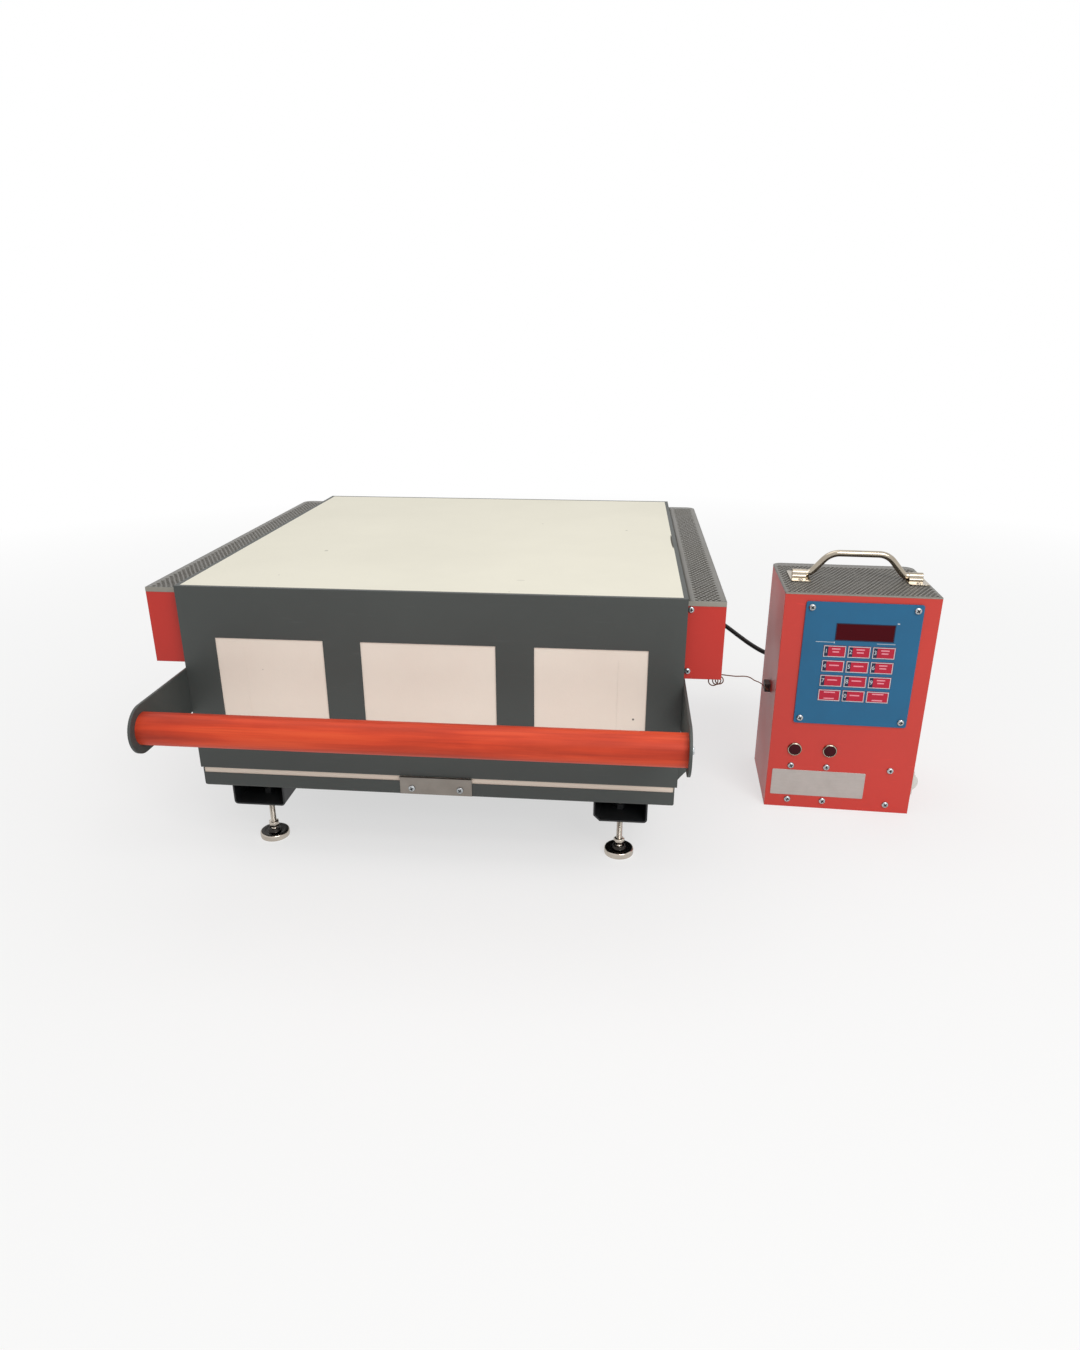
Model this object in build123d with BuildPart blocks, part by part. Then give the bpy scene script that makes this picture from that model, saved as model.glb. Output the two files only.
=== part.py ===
from build123d import *
import os
from math import cos, radians, sin, tan

# Glass kiln: a shallow clamshell kiln on levelling feet, with its controller standing beside it
#
# Millimetres, +Z up, the floor at z = 0. The origin is under the middle of the whole set.
# Most places are measured from the kiln's own corner point: x from the middle of the lid, y back
# from the lid's front face and z up from the floor. The controller has such a point of its own.

# Kiln lid
lid_width = 610.0
lid_depth = 616.0
lid_height = 241.6
sheet = 1.2                    # sheet metal of lid, tray and terminal boxes
top_reveal = 5.4               # width of the metal edge around the white roof board
wall_board = 76.2
roof_board = 76.2
closing_gap = 0.4              # between the closed lid and the hearth

# Windows in the front and rear panels, where the wall board shows
window_middle = 164.0
window_outer = 134.5
window_pillar = 46.0
window_height = 109.0
window_drop = 64.0             # from the lid's top to the windows' top

# Base tray and hearth
base_width = 604.0
base_depth = 613.0
hearth_board = 25.4
tray_lip = 19.6                # height of the low front wall
tray_side_drop = 0.5           # how far the other walls stay below the hearth's top
tray_bend = 4.5

# Rails under the tray
rail_width = 68.5
rail_height = 30.4
rail_sheet = 2.0
rail_x = 236.5
rail_setback = 9.0
rail_bend = 5.0
rail_corner_cut = 8.0          # chamfer on the right rail's inner lower corner

# Levelling feet
foot_clearance = 67.0          # from the floor to the rails
foot_setback = 45.0
foot_rod_radius = 3.97
foot_rod_top = 86.0
foot_hex = 13.0                # across flats
foot_hex_bottom = 14.5
foot_hex_height = 8.0
foot_ball_radius = 5.0
foot_ball_height = 9.3
foot_neck_radius = 2.9
pad_radius = 19.5
pad_rim = 2.5
pad_shoulder_radius = 17.0
pad_shoulder = 8.5
pad_boss_radius = 8.5
pad_height = 12.0
nut_height = 6.5
nut_hex = 13.0

# Front plate on the tray
plate_x = 2.6
plate_width = 92.2
plate_height = 24.6
plate_sheet = 1.2
plate_lip = 3.0
plate_screw_spacing = 62.0
plate_screw_height = 8.2       # above the plate's lower edge

# Terminal boxes on the lid's two sides
box_proud = 45.0
box_setback = 16.0
box_length = 584.0
box_drop = 7.0                 # from the lid's top to the box's cover
box_height = 96.0
box_corner = 14.0              # rear outer corner
box_screw_inset = 4.5
box_screw_drop = 10.0
slot_width = 3.2
slot_pitch = 9.0
slot_angle = 30.0
cover_margin = 10.0            # plain strip of the cover beside the lid
cover_edge = 5.0               # plain strip along the other edges

# Handle
bracket_sheet = 3.0
bracket_height = 57.5
bracket_drop = 106.5           # from the lid's top to the bracket's upper edge
bracket_reach = 113.0          # from the lid's front face to the handle's axis
bracket_tail = 90.0            # length along the lid's side
handle_radius = 19.0
bolt_radius = 6.0
bolt_head = 4.0
bolt_spacing = 56.0

# Tab at the lid's right front corner
tab_sheet = 2.0
tab_reach = 12.0
tab_low = 9.6                  # above the lid's lower edge
tab_knee = 24.0                # height of its curved edge
tab_top = 36.0

# Heating elements and thermocouple
element_count = 6
element_pitch = 73.0
element_radius = 6.5
element_tail_radius = 2.5
element_tail_end = 332.0       # from the middle of the lid
groove_width = 16.0
groove_depth = 16.0
probe_radius = 3.0
probe_y = 100.0
probe_rise = 12.0              # above the terminal box's lower edge
probe_reach = 25.0             # into the chamber
probe_block = 20.0

# Lid hinges
hinge_x = 190.0
hinge_width = 70.0
hinge_knuckle = 20.0           # length of each of the lid leaf's two knuckles
hinge_gap = 0.4
hinge_radius = 6.0
hinge_pin_radius = 3.0
hinge_leaf = 2.0
hinge_leaf_height = 32.0
hinge_offset = 8.5             # from the lid's rear panel to the pin

# Small screws
screw_radius = 3.9
screw_head = 2.4

# Controller: its front left lower corner from the kiln's point, and its turn about Z
ctrl_x = 447.7
ctrl_y = 192.6
ctrl_turn = -2.2
ctrl_width = 202.0
ctrl_depth = 165.0
ctrl_height = 323.0
ctrl_sheet = 1.5
ctrl_corner = 14.0             # rear corners
ctrl_slot_length = 40.0
ctrl_slot_pitch = 12.0
ctrl_slot_rows = 3

# Faceplate, display and keys
face_left = 28.5
face_bottom = 135.0
face_width = 152.0
face_height = 177.5
face_thickness = 2.0
face_corner = 3.0
face_screw_inset = 8.0
display_width = 75.0
display_height = 22.5
display_left = 71.5
display_bottom = 260.0
key_width = 29.5
key_height = 16.6
key_thickness = 2.2
key_proud = 0.4
key_pitch_x = 32.2
key_pitch_z = 21.5
key_left = 57.5
key_bottom = 170.5
key_columns = 3
key_rows = 4
key_travel = 0.5
board_front = 7.5              # behind the controller's front face
board_thickness = 1.6
board_inset = 4.0
board_post_radius = 3.0

# Indicator lamps
lamp_left = 34.8
lamp_pitch = 48.6
lamp_height = 93.0
lamp_bezel_radius = 9.4
lamp_lens_radius = 7.8
lamp_proud = 3.0
lamp_barrel_radius = 6.5
lamp_barrel = 22.0

# Screws through the controller's front, and the power parts that they hold
gear_columns = (32.0, 81.5, 169.5)
gear_rows = (12.5, 67.0)
relay_depth = 48.0
terminal_depth = 22.0
gear_margin = 8.0

# Bail on the controller
bail_middle = 107.5
bail_setback = 86.0
bail_radius = 4.75
bail_half_span = 66.0
bail_half_top = 31.0
bail_rise = 29.5
bail_bend = 15.0
bail_grip = 16.0               # length of each end inside its plate
bail_plate_width = 27.0
bail_plate_depth = 57.0
bail_plate_sheet = 1.5
bail_wall = 1.4                # metal around the bail's ends

# Power rocker on the controller's right side
rocker_setback = 12.0
rocker_height = 48.0           # its pivot above the floor
rocker_length = 28.0
rocker_width = 12.0
rocker_proud = 9.5
rocker_frame = 2.5
rocker_frame_proud = 2.0
rocker_shaft = 1.5
rocker_wall = 1.2
rocker_sleeve_depth = 14.0
rocker_pivot_depth = 2.0       # behind the side's outer face
rocker_root = 3.0              # behind the pivot
rocker_rest = 8.0              # lean at rest, in degrees

# Glands, plug and cords
gland_radius = 11.0
gland_flange = 6.0
gland_length = 20.0
gland_neck = 8.0
gland_taper = 8.0
lid_gland_x = 330.0
lid_gland_y = 560.0
ctrl_gland_left = 105.0
ctrl_gland_height = 150.0
cord_diameter = 7.5
lead_diameter = 1.4
load_cord_lead = 18.0          # straight run behind the controller's gland
lead_entry = 9.0               # straight run before the plug
plug_length = 20.0
plug_height = 12.0
plug_proud = 8.0
plug_setback = 53.4
plug_bottom = 157.0
coil_radius = 12.0
coil_length = 27.0
coil_left = 333.0
coil_y = 50.0

# Fits
running_clearance = 0.08       # radial, for pins, rods and balls that turn or slide
body_clearance = 0.3           # between bodies that move past each other
fixed_clearance = 0.1          # between a piece and the hole that holds it

# Heights above the floor
rail_bottom = foot_clearance
tray_bottom = rail_bottom + rail_height
hearth_bottom = tray_bottom + sheet
hearth_top = hearth_bottom + hearth_board
lid_bottom = hearth_top + closing_gap
lid_top = lid_bottom + lid_height
roof_bottom = lid_top - roof_board
box_top = lid_top - box_drop
box_bottom = box_top - box_height
handle_z = lid_top - bracket_drop - bracket_height / 2
element_z = roof_bottom + groove_depth / 2
hinge_z = lid_bottom - closing_gap / 2
hinge_y = lid_depth + hinge_offset
probe_z = box_bottom + probe_rise
bail_z = ctrl_height + bail_radius + bail_wall

switch_front = key_thickness - key_proud - face_thickness + key_travel + body_clearance
rocker_margin = 2 * (body_clearance + rocker_wall + fixed_clearance)

# Places across the kiln
side_x = lid_width / 2
box_x = side_x + box_proud
handle_y = -bracket_reach
element_rows = [lid_depth / 2 + element_pitch * (i - (element_count - 1) / 2)
                for i in range(element_count)]

# The set's outer limits fix where the kiln's own point lies in the part's frame
turn = radians(ctrl_turn)
right_limit = (ctrl_x + (ctrl_width + rocker_proud) * cos(turn)
               - (rocker_setback + rocker_width / 2) * sin(turn))
front_limit = handle_y - bracket_height / 2
rear_limit = hinge_y + hinge_radius
kiln_x = (box_x - right_limit) / 2
kiln_y = -(front_limit + rear_limit) / 2

ctrl_right = Vector(cos(turn), sin(turn), 0)
ctrl_back = Vector(-sin(turn), cos(turn), 0)
ctrl_corner_point = Vector(kiln_x + ctrl_x, kiln_y + ctrl_y, 0)
ctrl_axis = Axis(ctrl_corner_point, ctrl_back)


def level(z):
    """Horizontal plane of the kiln: local x to the right, y to the back."""
    return Plane(origin=(kiln_x, kiln_y, z))


def upright(y):
    """Plane parallel to the lid's front: local x to the right, y up, facing forward."""
    return Plane(origin=(kiln_x, kiln_y + y, 0), x_dir=(1, 0, 0), z_dir=(0, -1, 0))


def side(x):
    """Plane parallel to the lid's side: local x to the back, y up, facing right."""
    return Plane(origin=(kiln_x + x, kiln_y, 0), x_dir=(0, 1, 0), z_dir=(1, 0, 0))


def ctrl_level(z):
    """Horizontal plane of the controller, from its front left corner."""
    return Plane(origin=ctrl_corner_point + Vector(0, 0, z), x_dir=ctrl_right, z_dir=(0, 0, 1))


def ctrl_upright(v):
    """Plane parallel to the controller's front, v behind it, facing forward."""
    return Plane(origin=ctrl_corner_point + ctrl_back * v, x_dir=ctrl_right, z_dir=-ctrl_back)


def ctrl_side(u):
    """Plane parallel to the controller's side, u from its left side, facing right."""
    return Plane(origin=ctrl_corner_point + ctrl_right * u, x_dir=ctrl_back, z_dir=ctrl_right)


def rect(x0, x1, y0, y1, mode=Mode.ADD):
    """Rectangle between two corners, inside a sketch."""
    with Locations(((x0 + x1) / 2, (y0 + y1) / 2)):
        Rectangle(abs(x1 - x0), abs(y1 - y0), mode=mode)


def save(piece, name):
    """Label a finished piece and write its STEP file."""
    piece.part.label = name
    export_step(piece.part, f"parts/{name}.step")


def heads(seats, radius=screw_radius, height=screw_head):
    """Domed screw heads on the outer side of each plane, at its local points."""
    with BuildPart() as group:
        for plane, points in seats:
            with BuildSketch(plane):
                with Locations(*points):
                    Circle(radius)
            extrude(amount=height)
            outward = Axis(plane.origin, plane.z_dir)
            rims = group.edges(Select.LAST).filter_by(GeomType.CIRCLE).group_by(outward)[-1]
            fillet(rims, height * 0.6)
    return group


# Base tray: low in front, where the hearth's edge shows above it
with BuildPart() as base_tray:
    with BuildSketch(level(tray_bottom)):
        rect(-base_width / 2, base_width / 2, 0, base_depth)
    extrude(amount=hearth_top - tray_side_drop - tray_bottom)
    fillet(base_tray.faces().sort_by(Axis.Z)[0].edges(), tray_bend)
    offset(amount=-sheet, openings=base_tray.faces().sort_by(Axis.Z)[-1])
    with BuildSketch(level(tray_bottom + tray_lip)):
        rect(-base_width / 2 + sheet, base_width / 2 - sheet, -sheet, sheet)
    extrude(amount=hearth_top - tray_bottom, mode=Mode.SUBTRACT)
save(base_tray, "base_tray")

# Hearth board, bedded in the tray
with BuildPart() as hearth:
    with BuildSketch(level(hearth_bottom)):
        rect(-base_width / 2 + sheet, base_width / 2 - sheet, sheet, base_depth - sheet)
    extrude(amount=hearth_board)
    fillet(hearth.faces().sort_by(Axis.Z)[0].edges(), tray_bend - sheet)
save(hearth, "hearth_board")

# Front plate: folded outward along its upper edge
with BuildPart() as front_plate:
    plate_bottom = hearth_top + closing_gap / 2 - plate_height
    with BuildSketch(side(plate_x - plate_width / 2)):
        with BuildLine():
            Polyline((0, plate_bottom), (0, plate_bottom + plate_height),
                     (-plate_sheet - plate_lip, plate_bottom + plate_height),
                     (-plate_sheet - plate_lip, plate_bottom + plate_height - plate_sheet),
                     (-plate_sheet, plate_bottom + plate_height - plate_sheet),
                     (-plate_sheet, plate_bottom), close=True)
        make_face()
    extrude(amount=plate_width)
    fillet(front_plate.edges().filter_by(Axis.X).group_by(Axis.Z)[-1].sort_by(Axis.Y)[-1],
           plate_sheet * 0.8)
save(front_plate, "front_plate")


def rail_profile(middle, cut_corner, inset=0.0):
    """Section of a rail: two rounded lower corners, or the inner one cut off."""
    with BuildSketch(mode=Mode.PRIVATE) as profile:
        rect(middle - rail_width / 2 + inset, middle + rail_width / 2 - inset,
             rail_bottom + inset, tray_bottom)
        low = profile.vertices().group_by(Axis.Y)[0].sort_by(Axis.X)
        fillet(low[1:] if cut_corner else low, rail_bend - inset)
        if cut_corner:
            chamfer(profile.vertices().group_by(Axis.Y)[0].sort_by(Axis.X)[0],
                    rail_corner_cut - inset / 2)
    return profile.sketch


def make_rail(name, middle, cut_corner):
    """Open channel under the tray, with a weld nut for each of its two feet."""
    outline = rail_profile(middle, cut_corner)
    hollow = rail_profile(middle, cut_corner, rail_sheet)
    with BuildPart() as rail:
        with BuildSketch(upright(rail_setback)):
            add(outline)
            add(hollow, mode=Mode.SUBTRACT)
        extrude(amount=-(base_depth - 2 * rail_setback))
        feet = [(middle, foot_setback), (middle, base_depth - foot_setback)]
        with BuildSketch(level(rail_bottom + rail_sheet)):
            with Locations(*feet):
                RegularPolygon(nut_hex / 2, 6, major_radius=False)
        extrude(amount=nut_height)
        with BuildSketch(level(rail_bottom)):
            with Locations(*feet):
                Circle(foot_rod_radius + running_clearance)
        extrude(amount=rail_sheet + nut_height, mode=Mode.SUBTRACT)
    save(rail, name)


make_rail("left_rail", -rail_x, cut_corner=False)
make_rail("right_rail", rail_x, cut_corner=True)


def make_foot(place, x, y):
    """Threaded foot rod with its ball, and the swivel pad that the ball carries."""
    foot_axis = Axis((kiln_x + x, kiln_y + y, 0), (0, 0, 1))
    ball_centre = (kiln_x + x, kiln_y + y, foot_ball_height)
    with BuildPart() as rod:
        with Locations(ball_centre):
            Sphere(foot_ball_radius)
        with BuildSketch(level(foot_ball_height)):
            with Locations((x, y)):
                Circle(foot_neck_radius)
        extrude(amount=foot_hex_bottom - foot_ball_height)
        with BuildSketch(level(foot_hex_bottom)):
            with Locations((x, y)):
                RegularPolygon(foot_hex / 2, 6, major_radius=False)
        extrude(amount=foot_hex_height)
        with BuildSketch(level(foot_hex_bottom + foot_hex_height)):
            with Locations((x, y)):
                Circle(foot_rod_radius)
        extrude(amount=foot_rod_top - foot_hex_bottom - foot_hex_height)
        chamfer(rod.faces().sort_by(Axis.Z)[-1].edges(), foot_rod_radius / 5)
    save(rod, f"{place}_foot_rod")
    with BuildPart() as pad:
        with BuildSketch(upright(y)):
            with BuildLine():
                Polyline((x, 0), (x + pad_radius, 0), (x + pad_radius, pad_rim),
                         (x + pad_shoulder_radius, pad_shoulder), (x + pad_boss_radius, pad_shoulder),
                         (x + pad_boss_radius, pad_height), (x, pad_height), close=True)
            make_face()
        revolve(axis=foot_axis)
        with Locations(ball_centre):
            Sphere(foot_ball_radius + running_clearance, mode=Mode.SUBTRACT)
    save(pad, f"{place}_foot_pad")


for place, foot_x, foot_y in (("front_left", -rail_x, foot_setback),
                              ("front_right", rail_x, foot_setback),
                              ("rear_left", -rail_x, base_depth - foot_setback),
                              ("rear_right", rail_x, base_depth - foot_setback)):
    make_foot(place, foot_x, foot_y)


def make_window_panel(name, front, inward):
    """Front or rear panel of the lid: three windows, and a narrow edge around the roof board."""
    outer_x = window_middle / 2 + window_pillar + window_outer / 2
    window_z = lid_top - window_drop - window_height / 2
    with BuildPart() as panel:
        with BuildSketch(upright(front)):
            rect(-side_x, side_x, lid_bottom, lid_top)
            with Locations((0, window_z)):
                Rectangle(window_middle, window_height, mode=Mode.SUBTRACT)
            with Locations((-outer_x, window_z), (outer_x, window_z)):
                Rectangle(window_outer, window_height, mode=Mode.SUBTRACT)
        extrude(amount=-inward * sheet)
        with BuildSketch(level(lid_top - sheet)):
            rect(-side_x + sheet, side_x - sheet, front, front + inward * top_reveal)
        extrude(amount=sheet)
    save(panel, name)


make_window_panel("lid_front_panel", 0, inward=1)
make_window_panel("lid_rear_panel", lid_depth, inward=-1)

# Side panels, bored for the element tails and the thermocouple, with the tab on the right one
with BuildPart() as side_panels:
    for hand in (-1, 1):
        outer = hand * side_x
        with BuildSketch(side(outer)):
            rect(sheet, lid_depth - sheet, lid_bottom, lid_top)
            with Locations(*[(y, element_z) for y in element_rows]):
                Circle(element_tail_radius + fixed_clearance, mode=Mode.SUBTRACT)
            if hand > 0:
                with Locations((probe_y, probe_z)):
                    Circle(probe_radius + fixed_clearance, mode=Mode.SUBTRACT)
        extrude(amount=-hand * sheet)
        with BuildSketch(level(lid_top - sheet)):
            rect(outer, outer - hand * top_reveal, top_reveal, lid_depth - top_reveal)
        extrude(amount=sheet)
    with BuildSketch(upright(2 * sheet)):
        with BuildLine():
            Line((side_x, lid_bottom + tab_low), (side_x, lid_bottom + tab_top))
            Line((side_x, lid_bottom + tab_top), (side_x + tab_reach, lid_bottom + tab_top))
            Line((side_x + tab_reach, lid_bottom + tab_top), (side_x + tab_reach, lid_bottom + tab_knee))
            TangentArc((side_x + tab_reach, lid_bottom + tab_knee), (side_x, lid_bottom + tab_low),
                       tangent=(-1, -1))
        make_face()
    extrude(amount=-tab_sheet)
save(side_panels, "lid_side_panels")

# Roof board: held under the panels' top edges, grooved below for the elements
groove_half = side_x - sheet - wall_board
with BuildPart() as roof:
    with BuildSketch(level(roof_bottom)):
        rect(-side_x + sheet, side_x - sheet, sheet, lid_depth - sheet)
    extrude(amount=roof_board - sheet)
    with BuildSketch(level(lid_top - sheet)):
        rect(-side_x + top_reveal, side_x - top_reveal, top_reveal, lid_depth - top_reveal)
    extrude(amount=sheet)
    for y in element_rows:
        with BuildSketch(side(-groove_half)):
            rect(y - groove_width / 2, y + groove_width / 2, roof_bottom - sheet, element_z)
            with Locations((y, element_z)):
                Circle(groove_width / 2)
        extrude(amount=2 * groove_half, mode=Mode.SUBTRACT)
    with BuildSketch(side(-side_x)):
        with Locations(*[(y, element_z) for y in element_rows]):
            Circle(element_tail_radius + fixed_clearance)
    extrude(amount=lid_width, mode=Mode.SUBTRACT)
save(roof, "roof_board")

# Wall boards: two side boards, with the front and rear boards between them
inner_y = sheet + wall_board
between = groove_half - fixed_clearance
with BuildPart() as walls:
    with BuildSketch(level(lid_bottom)):
        for hand in (-1, 1):
            rect(hand * groove_half, hand * (side_x - sheet), sheet, lid_depth - sheet)
        rect(-between, between, sheet, inner_y)
        rect(-between, between, lid_depth - inner_y, lid_depth - sheet)
    extrude(amount=roof_bottom - lid_bottom)
    with BuildSketch(side(groove_half)):
        with Locations((probe_y, probe_z)):
            Circle(probe_radius + fixed_clearance)
    extrude(amount=wall_board, mode=Mode.SUBTRACT)
save(walls, "wall_boards")

# Heating elements: coils across the roof, with thin tails out to the terminal boxes
with BuildPart() as elements:
    with BuildSketch(side(-groove_half + body_clearance)):
        with Locations(*[(y, element_z) for y in element_rows]):
            Circle(element_radius)
    extrude(amount=2 * (groove_half - body_clearance))
    with BuildSketch(side(-element_tail_end)):
        with Locations(*[(y, element_z) for y in element_rows]):
            Circle(element_tail_radius)
    extrude(amount=2 * element_tail_end)
save(elements, "heating_elements")

# Thermocouple: sheath through the right wall, and its ceramic block in the terminal box
with BuildPart() as probe:
    with BuildSketch(side(groove_half - probe_reach)):
        with Locations((probe_y, probe_z)):
            Circle(probe_radius)
    extrude(amount=wall_board + sheet + probe_reach)
    with BuildSketch(side(side_x)):
        with Locations((probe_y, probe_z)):
            Rectangle(probe_block, probe_block)
    extrude(amount=probe_block)
save(probe, "thermocouple_probe")


def box_outline(hand, inset=0.0):
    """Plan of a terminal box, its rear outer corner rounded."""
    with BuildSketch(mode=Mode.PRIVATE) as plan:
        rect(hand * side_x, hand * (box_x - inset), box_setback + inset,
             box_setback + box_length - inset)
        corners = plan.vertices().group_by(Axis.Y)[-1].sort_by(Axis.X)
        outer = corners[-1] if hand > 0 else corners[0]
        fillet(outer, box_corner - inset)
    return plan.sketch


def make_terminal_box(name, hand):
    """Sheet-metal box on the lid's side, open to the side panel and to its cover."""
    outline = box_outline(hand)
    hollow = box_outline(hand, sheet)
    with BuildPart() as box:
        with BuildSketch(level(box_bottom)):
            add(outline)
        extrude(amount=box_height - sheet)
        with BuildSketch(level(box_bottom + sheet)):
            add(hollow)
        extrude(amount=box_height, mode=Mode.SUBTRACT)
    save(box, name)


make_terminal_box("left_terminal_box", -1)
make_terminal_box("right_terminal_box", 1)

# Perforated covers of the terminal boxes
slot_span = box_proud - cover_margin - cover_edge
slot_count = int((box_length - 2 * box_corner) / slot_pitch)
cover_plans = {hand: box_outline(hand) for hand in (-1, 1)}
with BuildPart() as covers:
    for hand in (-1, 1):
        with BuildSketch(level(box_top - sheet)):
            add(cover_plans[hand])
            middle_x = hand * (side_x + cover_margin + slot_span / 2)
            with Locations((middle_x, box_setback + box_length / 2)):
                with GridLocations(0, slot_pitch, 1, slot_count):
                    Rectangle(slot_span * 0.95, slot_width, rotation=-hand * slot_angle,
                              mode=Mode.SUBTRACT)
        extrude(amount=sheet)
save(covers, "terminal_box_covers")

# Handle: a wooden bar between two flat brackets with round front ends
with BuildPart() as brackets:
    for hand in (-1, 1):
        with BuildSketch(side(hand * side_x)):
            rect(handle_y, bracket_tail, handle_z - bracket_height / 2, handle_z + bracket_height / 2)
            with Locations((handle_y, handle_z)):
                Circle(bracket_height / 2)
        extrude(amount=hand * bracket_sheet)
save(brackets, "handle_brackets")

with BuildPart() as handle_bar:
    with BuildSketch(side(-side_x)):
        with Locations((handle_y, handle_z)):
            Circle(handle_radius)
    extrude(amount=lid_width)
save(handle_bar, "handle_bar")

# Screws on the lid: terminal boxes, bracket bolts and the handle bar's end bolts
bracket_face = side_x + bracket_sheet
bolt_points = [(handle_y, handle_z)] + [(bracket_tail / 2 + side_step * bolt_spacing / 2, handle_z)
                                        for side_step in (-1, 1)]
box_screw_rows = (box_top - box_screw_drop, box_bottom + box_screw_drop)
left_face = Plane(origin=side(-bracket_face).origin, x_dir=(0, -1, 0), z_dir=(-1, 0, 0))
box_points = [(hand * (side_x + box_screw_inset), z) for hand in (-1, 1) for z in box_screw_rows]
box_heads = heads([(upright(box_setback), box_points)])
bolt_heads = heads([(side(bracket_face), bolt_points),
                    (left_face, [(-y, z) for y, z in bolt_points])], bolt_radius, bolt_head)
with BuildPart() as lid_screws:
    add(box_heads.part)
    add(bolt_heads.part)
save(lid_screws, "lid_screws")


def leaf_profile(panel_y, upward):
    """Side view of a hinge leaf: plate on the panel, web and knuckle around the pin."""
    web_z = hinge_z + upward * hinge_radius / 2
    with BuildSketch(mode=Mode.PRIVATE) as plate:
        rect(panel_y, panel_y + hinge_leaf, hinge_z + upward * hinge_gap,
             hinge_z + upward * hinge_leaf_height)
    with BuildSketch(mode=Mode.PRIVATE) as knuckle:
        with Locations((hinge_y, hinge_z)):
            Circle(hinge_radius)
        rect(panel_y, hinge_y, web_z - hinge_radius / 3, web_z + hinge_radius / 3)
        with Locations((hinge_y, hinge_z)):
            Circle(hinge_pin_radius + running_clearance, mode=Mode.SUBTRACT)
    return plate.sketch, knuckle.sketch


def make_leaves(name, panel_y, upward, knuckles):
    """Two hinge leaves, each with knuckles between the given offsets from its left end."""
    plate, knuckle = leaf_profile(panel_y, upward)
    with BuildPart() as leaves:
        for middle in (-hinge_x, hinge_x):
            left_end = middle - hinge_width / 2
            with BuildSketch(side(left_end)):
                add(plate)
            extrude(amount=hinge_width)
            for start, end in knuckles:
                with BuildSketch(side(left_end + start)):
                    add(knuckle)
                extrude(amount=end - start)
    save(leaves, name)


make_leaves("lid_hinge_leaves", lid_depth, 1,
            ((0, hinge_knuckle), (hinge_width - hinge_knuckle, hinge_width)))
make_leaves("base_hinge_leaves", base_depth, -1,
            ((hinge_knuckle + hinge_gap, hinge_width - hinge_knuckle - hinge_gap),))

with BuildPart() as hinge_pins:
    for middle in (-hinge_x, hinge_x):
        with BuildSketch(side(middle - hinge_width / 2 - hinge_leaf)):
            with Locations((hinge_y, hinge_z)):
                Circle(hinge_pin_radius)
        extrude(amount=hinge_width + 2 * hinge_leaf)
save(hinge_pins, "hinge_pins")

# Controller box: sides and back bent round the rear corners, open under its cover
key_places = [(key_left + key_width / 2 + column * key_pitch_x,
               key_bottom + key_height / 2 + row * key_pitch_z)
              for row in reversed(range(key_rows)) for column in range(key_columns)]
display_place = (display_left + display_width / 2, display_bottom + display_height / 2)
lamp_places = [(lamp_left, lamp_height), (lamp_left + lamp_pitch, lamp_height)]
window_low = key_bottom - key_pitch_z / 4
window_high = display_bottom + display_height + key_pitch_z / 4
window_side = (display_left - key_pitch_x / 2, display_left + display_width + key_pitch_x / 2)


def ctrl_outline(inset=0.0):
    """Plan of the controller, its rear corners rounded."""
    with BuildSketch(mode=Mode.PRIVATE) as plan:
        rect(inset, ctrl_width - inset, inset, ctrl_depth - inset)
        fillet(plan.vertices().group_by(Axis.Y)[-1], ctrl_corner - inset)
    return plan.sketch


ctrl_plan = ctrl_outline()
ctrl_hollow = ctrl_outline(ctrl_sheet)
with BuildPart() as ctrl_box:
    with BuildSketch(ctrl_level(0)):
        add(ctrl_plan)
    extrude(amount=ctrl_height - sheet)
    with BuildSketch(ctrl_level(ctrl_sheet)):
        add(ctrl_hollow)
    extrude(amount=ctrl_height, mode=Mode.SUBTRACT)
    with BuildSketch(ctrl_upright(0)):
        rect(*window_side, window_low, window_high)
        with Locations(*lamp_places):
            Circle(lamp_barrel_radius + fixed_clearance)
    extrude(amount=-ctrl_sheet, mode=Mode.SUBTRACT)
    with BuildSketch(ctrl_side(ctrl_width)):
        with Locations((rocker_setback, rocker_height)):
            Rectangle(rocker_width + rocker_margin, rocker_length + rocker_margin)
    extrude(amount=-ctrl_sheet, mode=Mode.SUBTRACT)
save(ctrl_box, "controller_box")

with BuildPart() as ctrl_cover:
    with BuildSketch(ctrl_level(ctrl_height - sheet)):
        add(ctrl_plan)
        with Locations((ctrl_width / 2, (ctrl_depth - ctrl_corner) / 2)):
            columns = int((ctrl_width - 2 * ctrl_corner) / ctrl_slot_pitch)
            row_pitch = (ctrl_depth - 2 * ctrl_corner) / ctrl_slot_rows
            with GridLocations(ctrl_slot_pitch, row_pitch, columns, ctrl_slot_rows):
                Rectangle(ctrl_slot_length, slot_width, rotation=90 - slot_angle, mode=Mode.SUBTRACT)
    extrude(amount=sheet)
save(ctrl_cover, "controller_cover")

face_screws = [(u, z) for u in (face_left + face_screw_inset, face_left + face_width - face_screw_inset)
               for z in (face_bottom + face_screw_inset, face_bottom + face_height - face_screw_inset)]

# Faceplate with openings for the display and the keys
with BuildPart() as faceplate:
    with BuildSketch(ctrl_upright(0)) as plate:
        rect(face_left, face_left + face_width, face_bottom, face_bottom + face_height)
        fillet(plate.vertices(), face_corner)
        with Locations(display_place):
            Rectangle(display_width, display_height, mode=Mode.SUBTRACT)
        with Locations(*key_places):
            Rectangle(key_width + 2 * body_clearance, key_height + 2 * body_clearance,
                      mode=Mode.SUBTRACT)
    extrude(amount=face_thickness)
save(faceplate, "faceplate")

with BuildPart() as display_window:
    with BuildSketch(ctrl_upright(0)):
        with Locations(display_place):
            Rectangle(display_width - 2 * fixed_clearance, display_height - 2 * fixed_clearance)
    extrude(amount=face_thickness)
save(display_window, "display_window")

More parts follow.
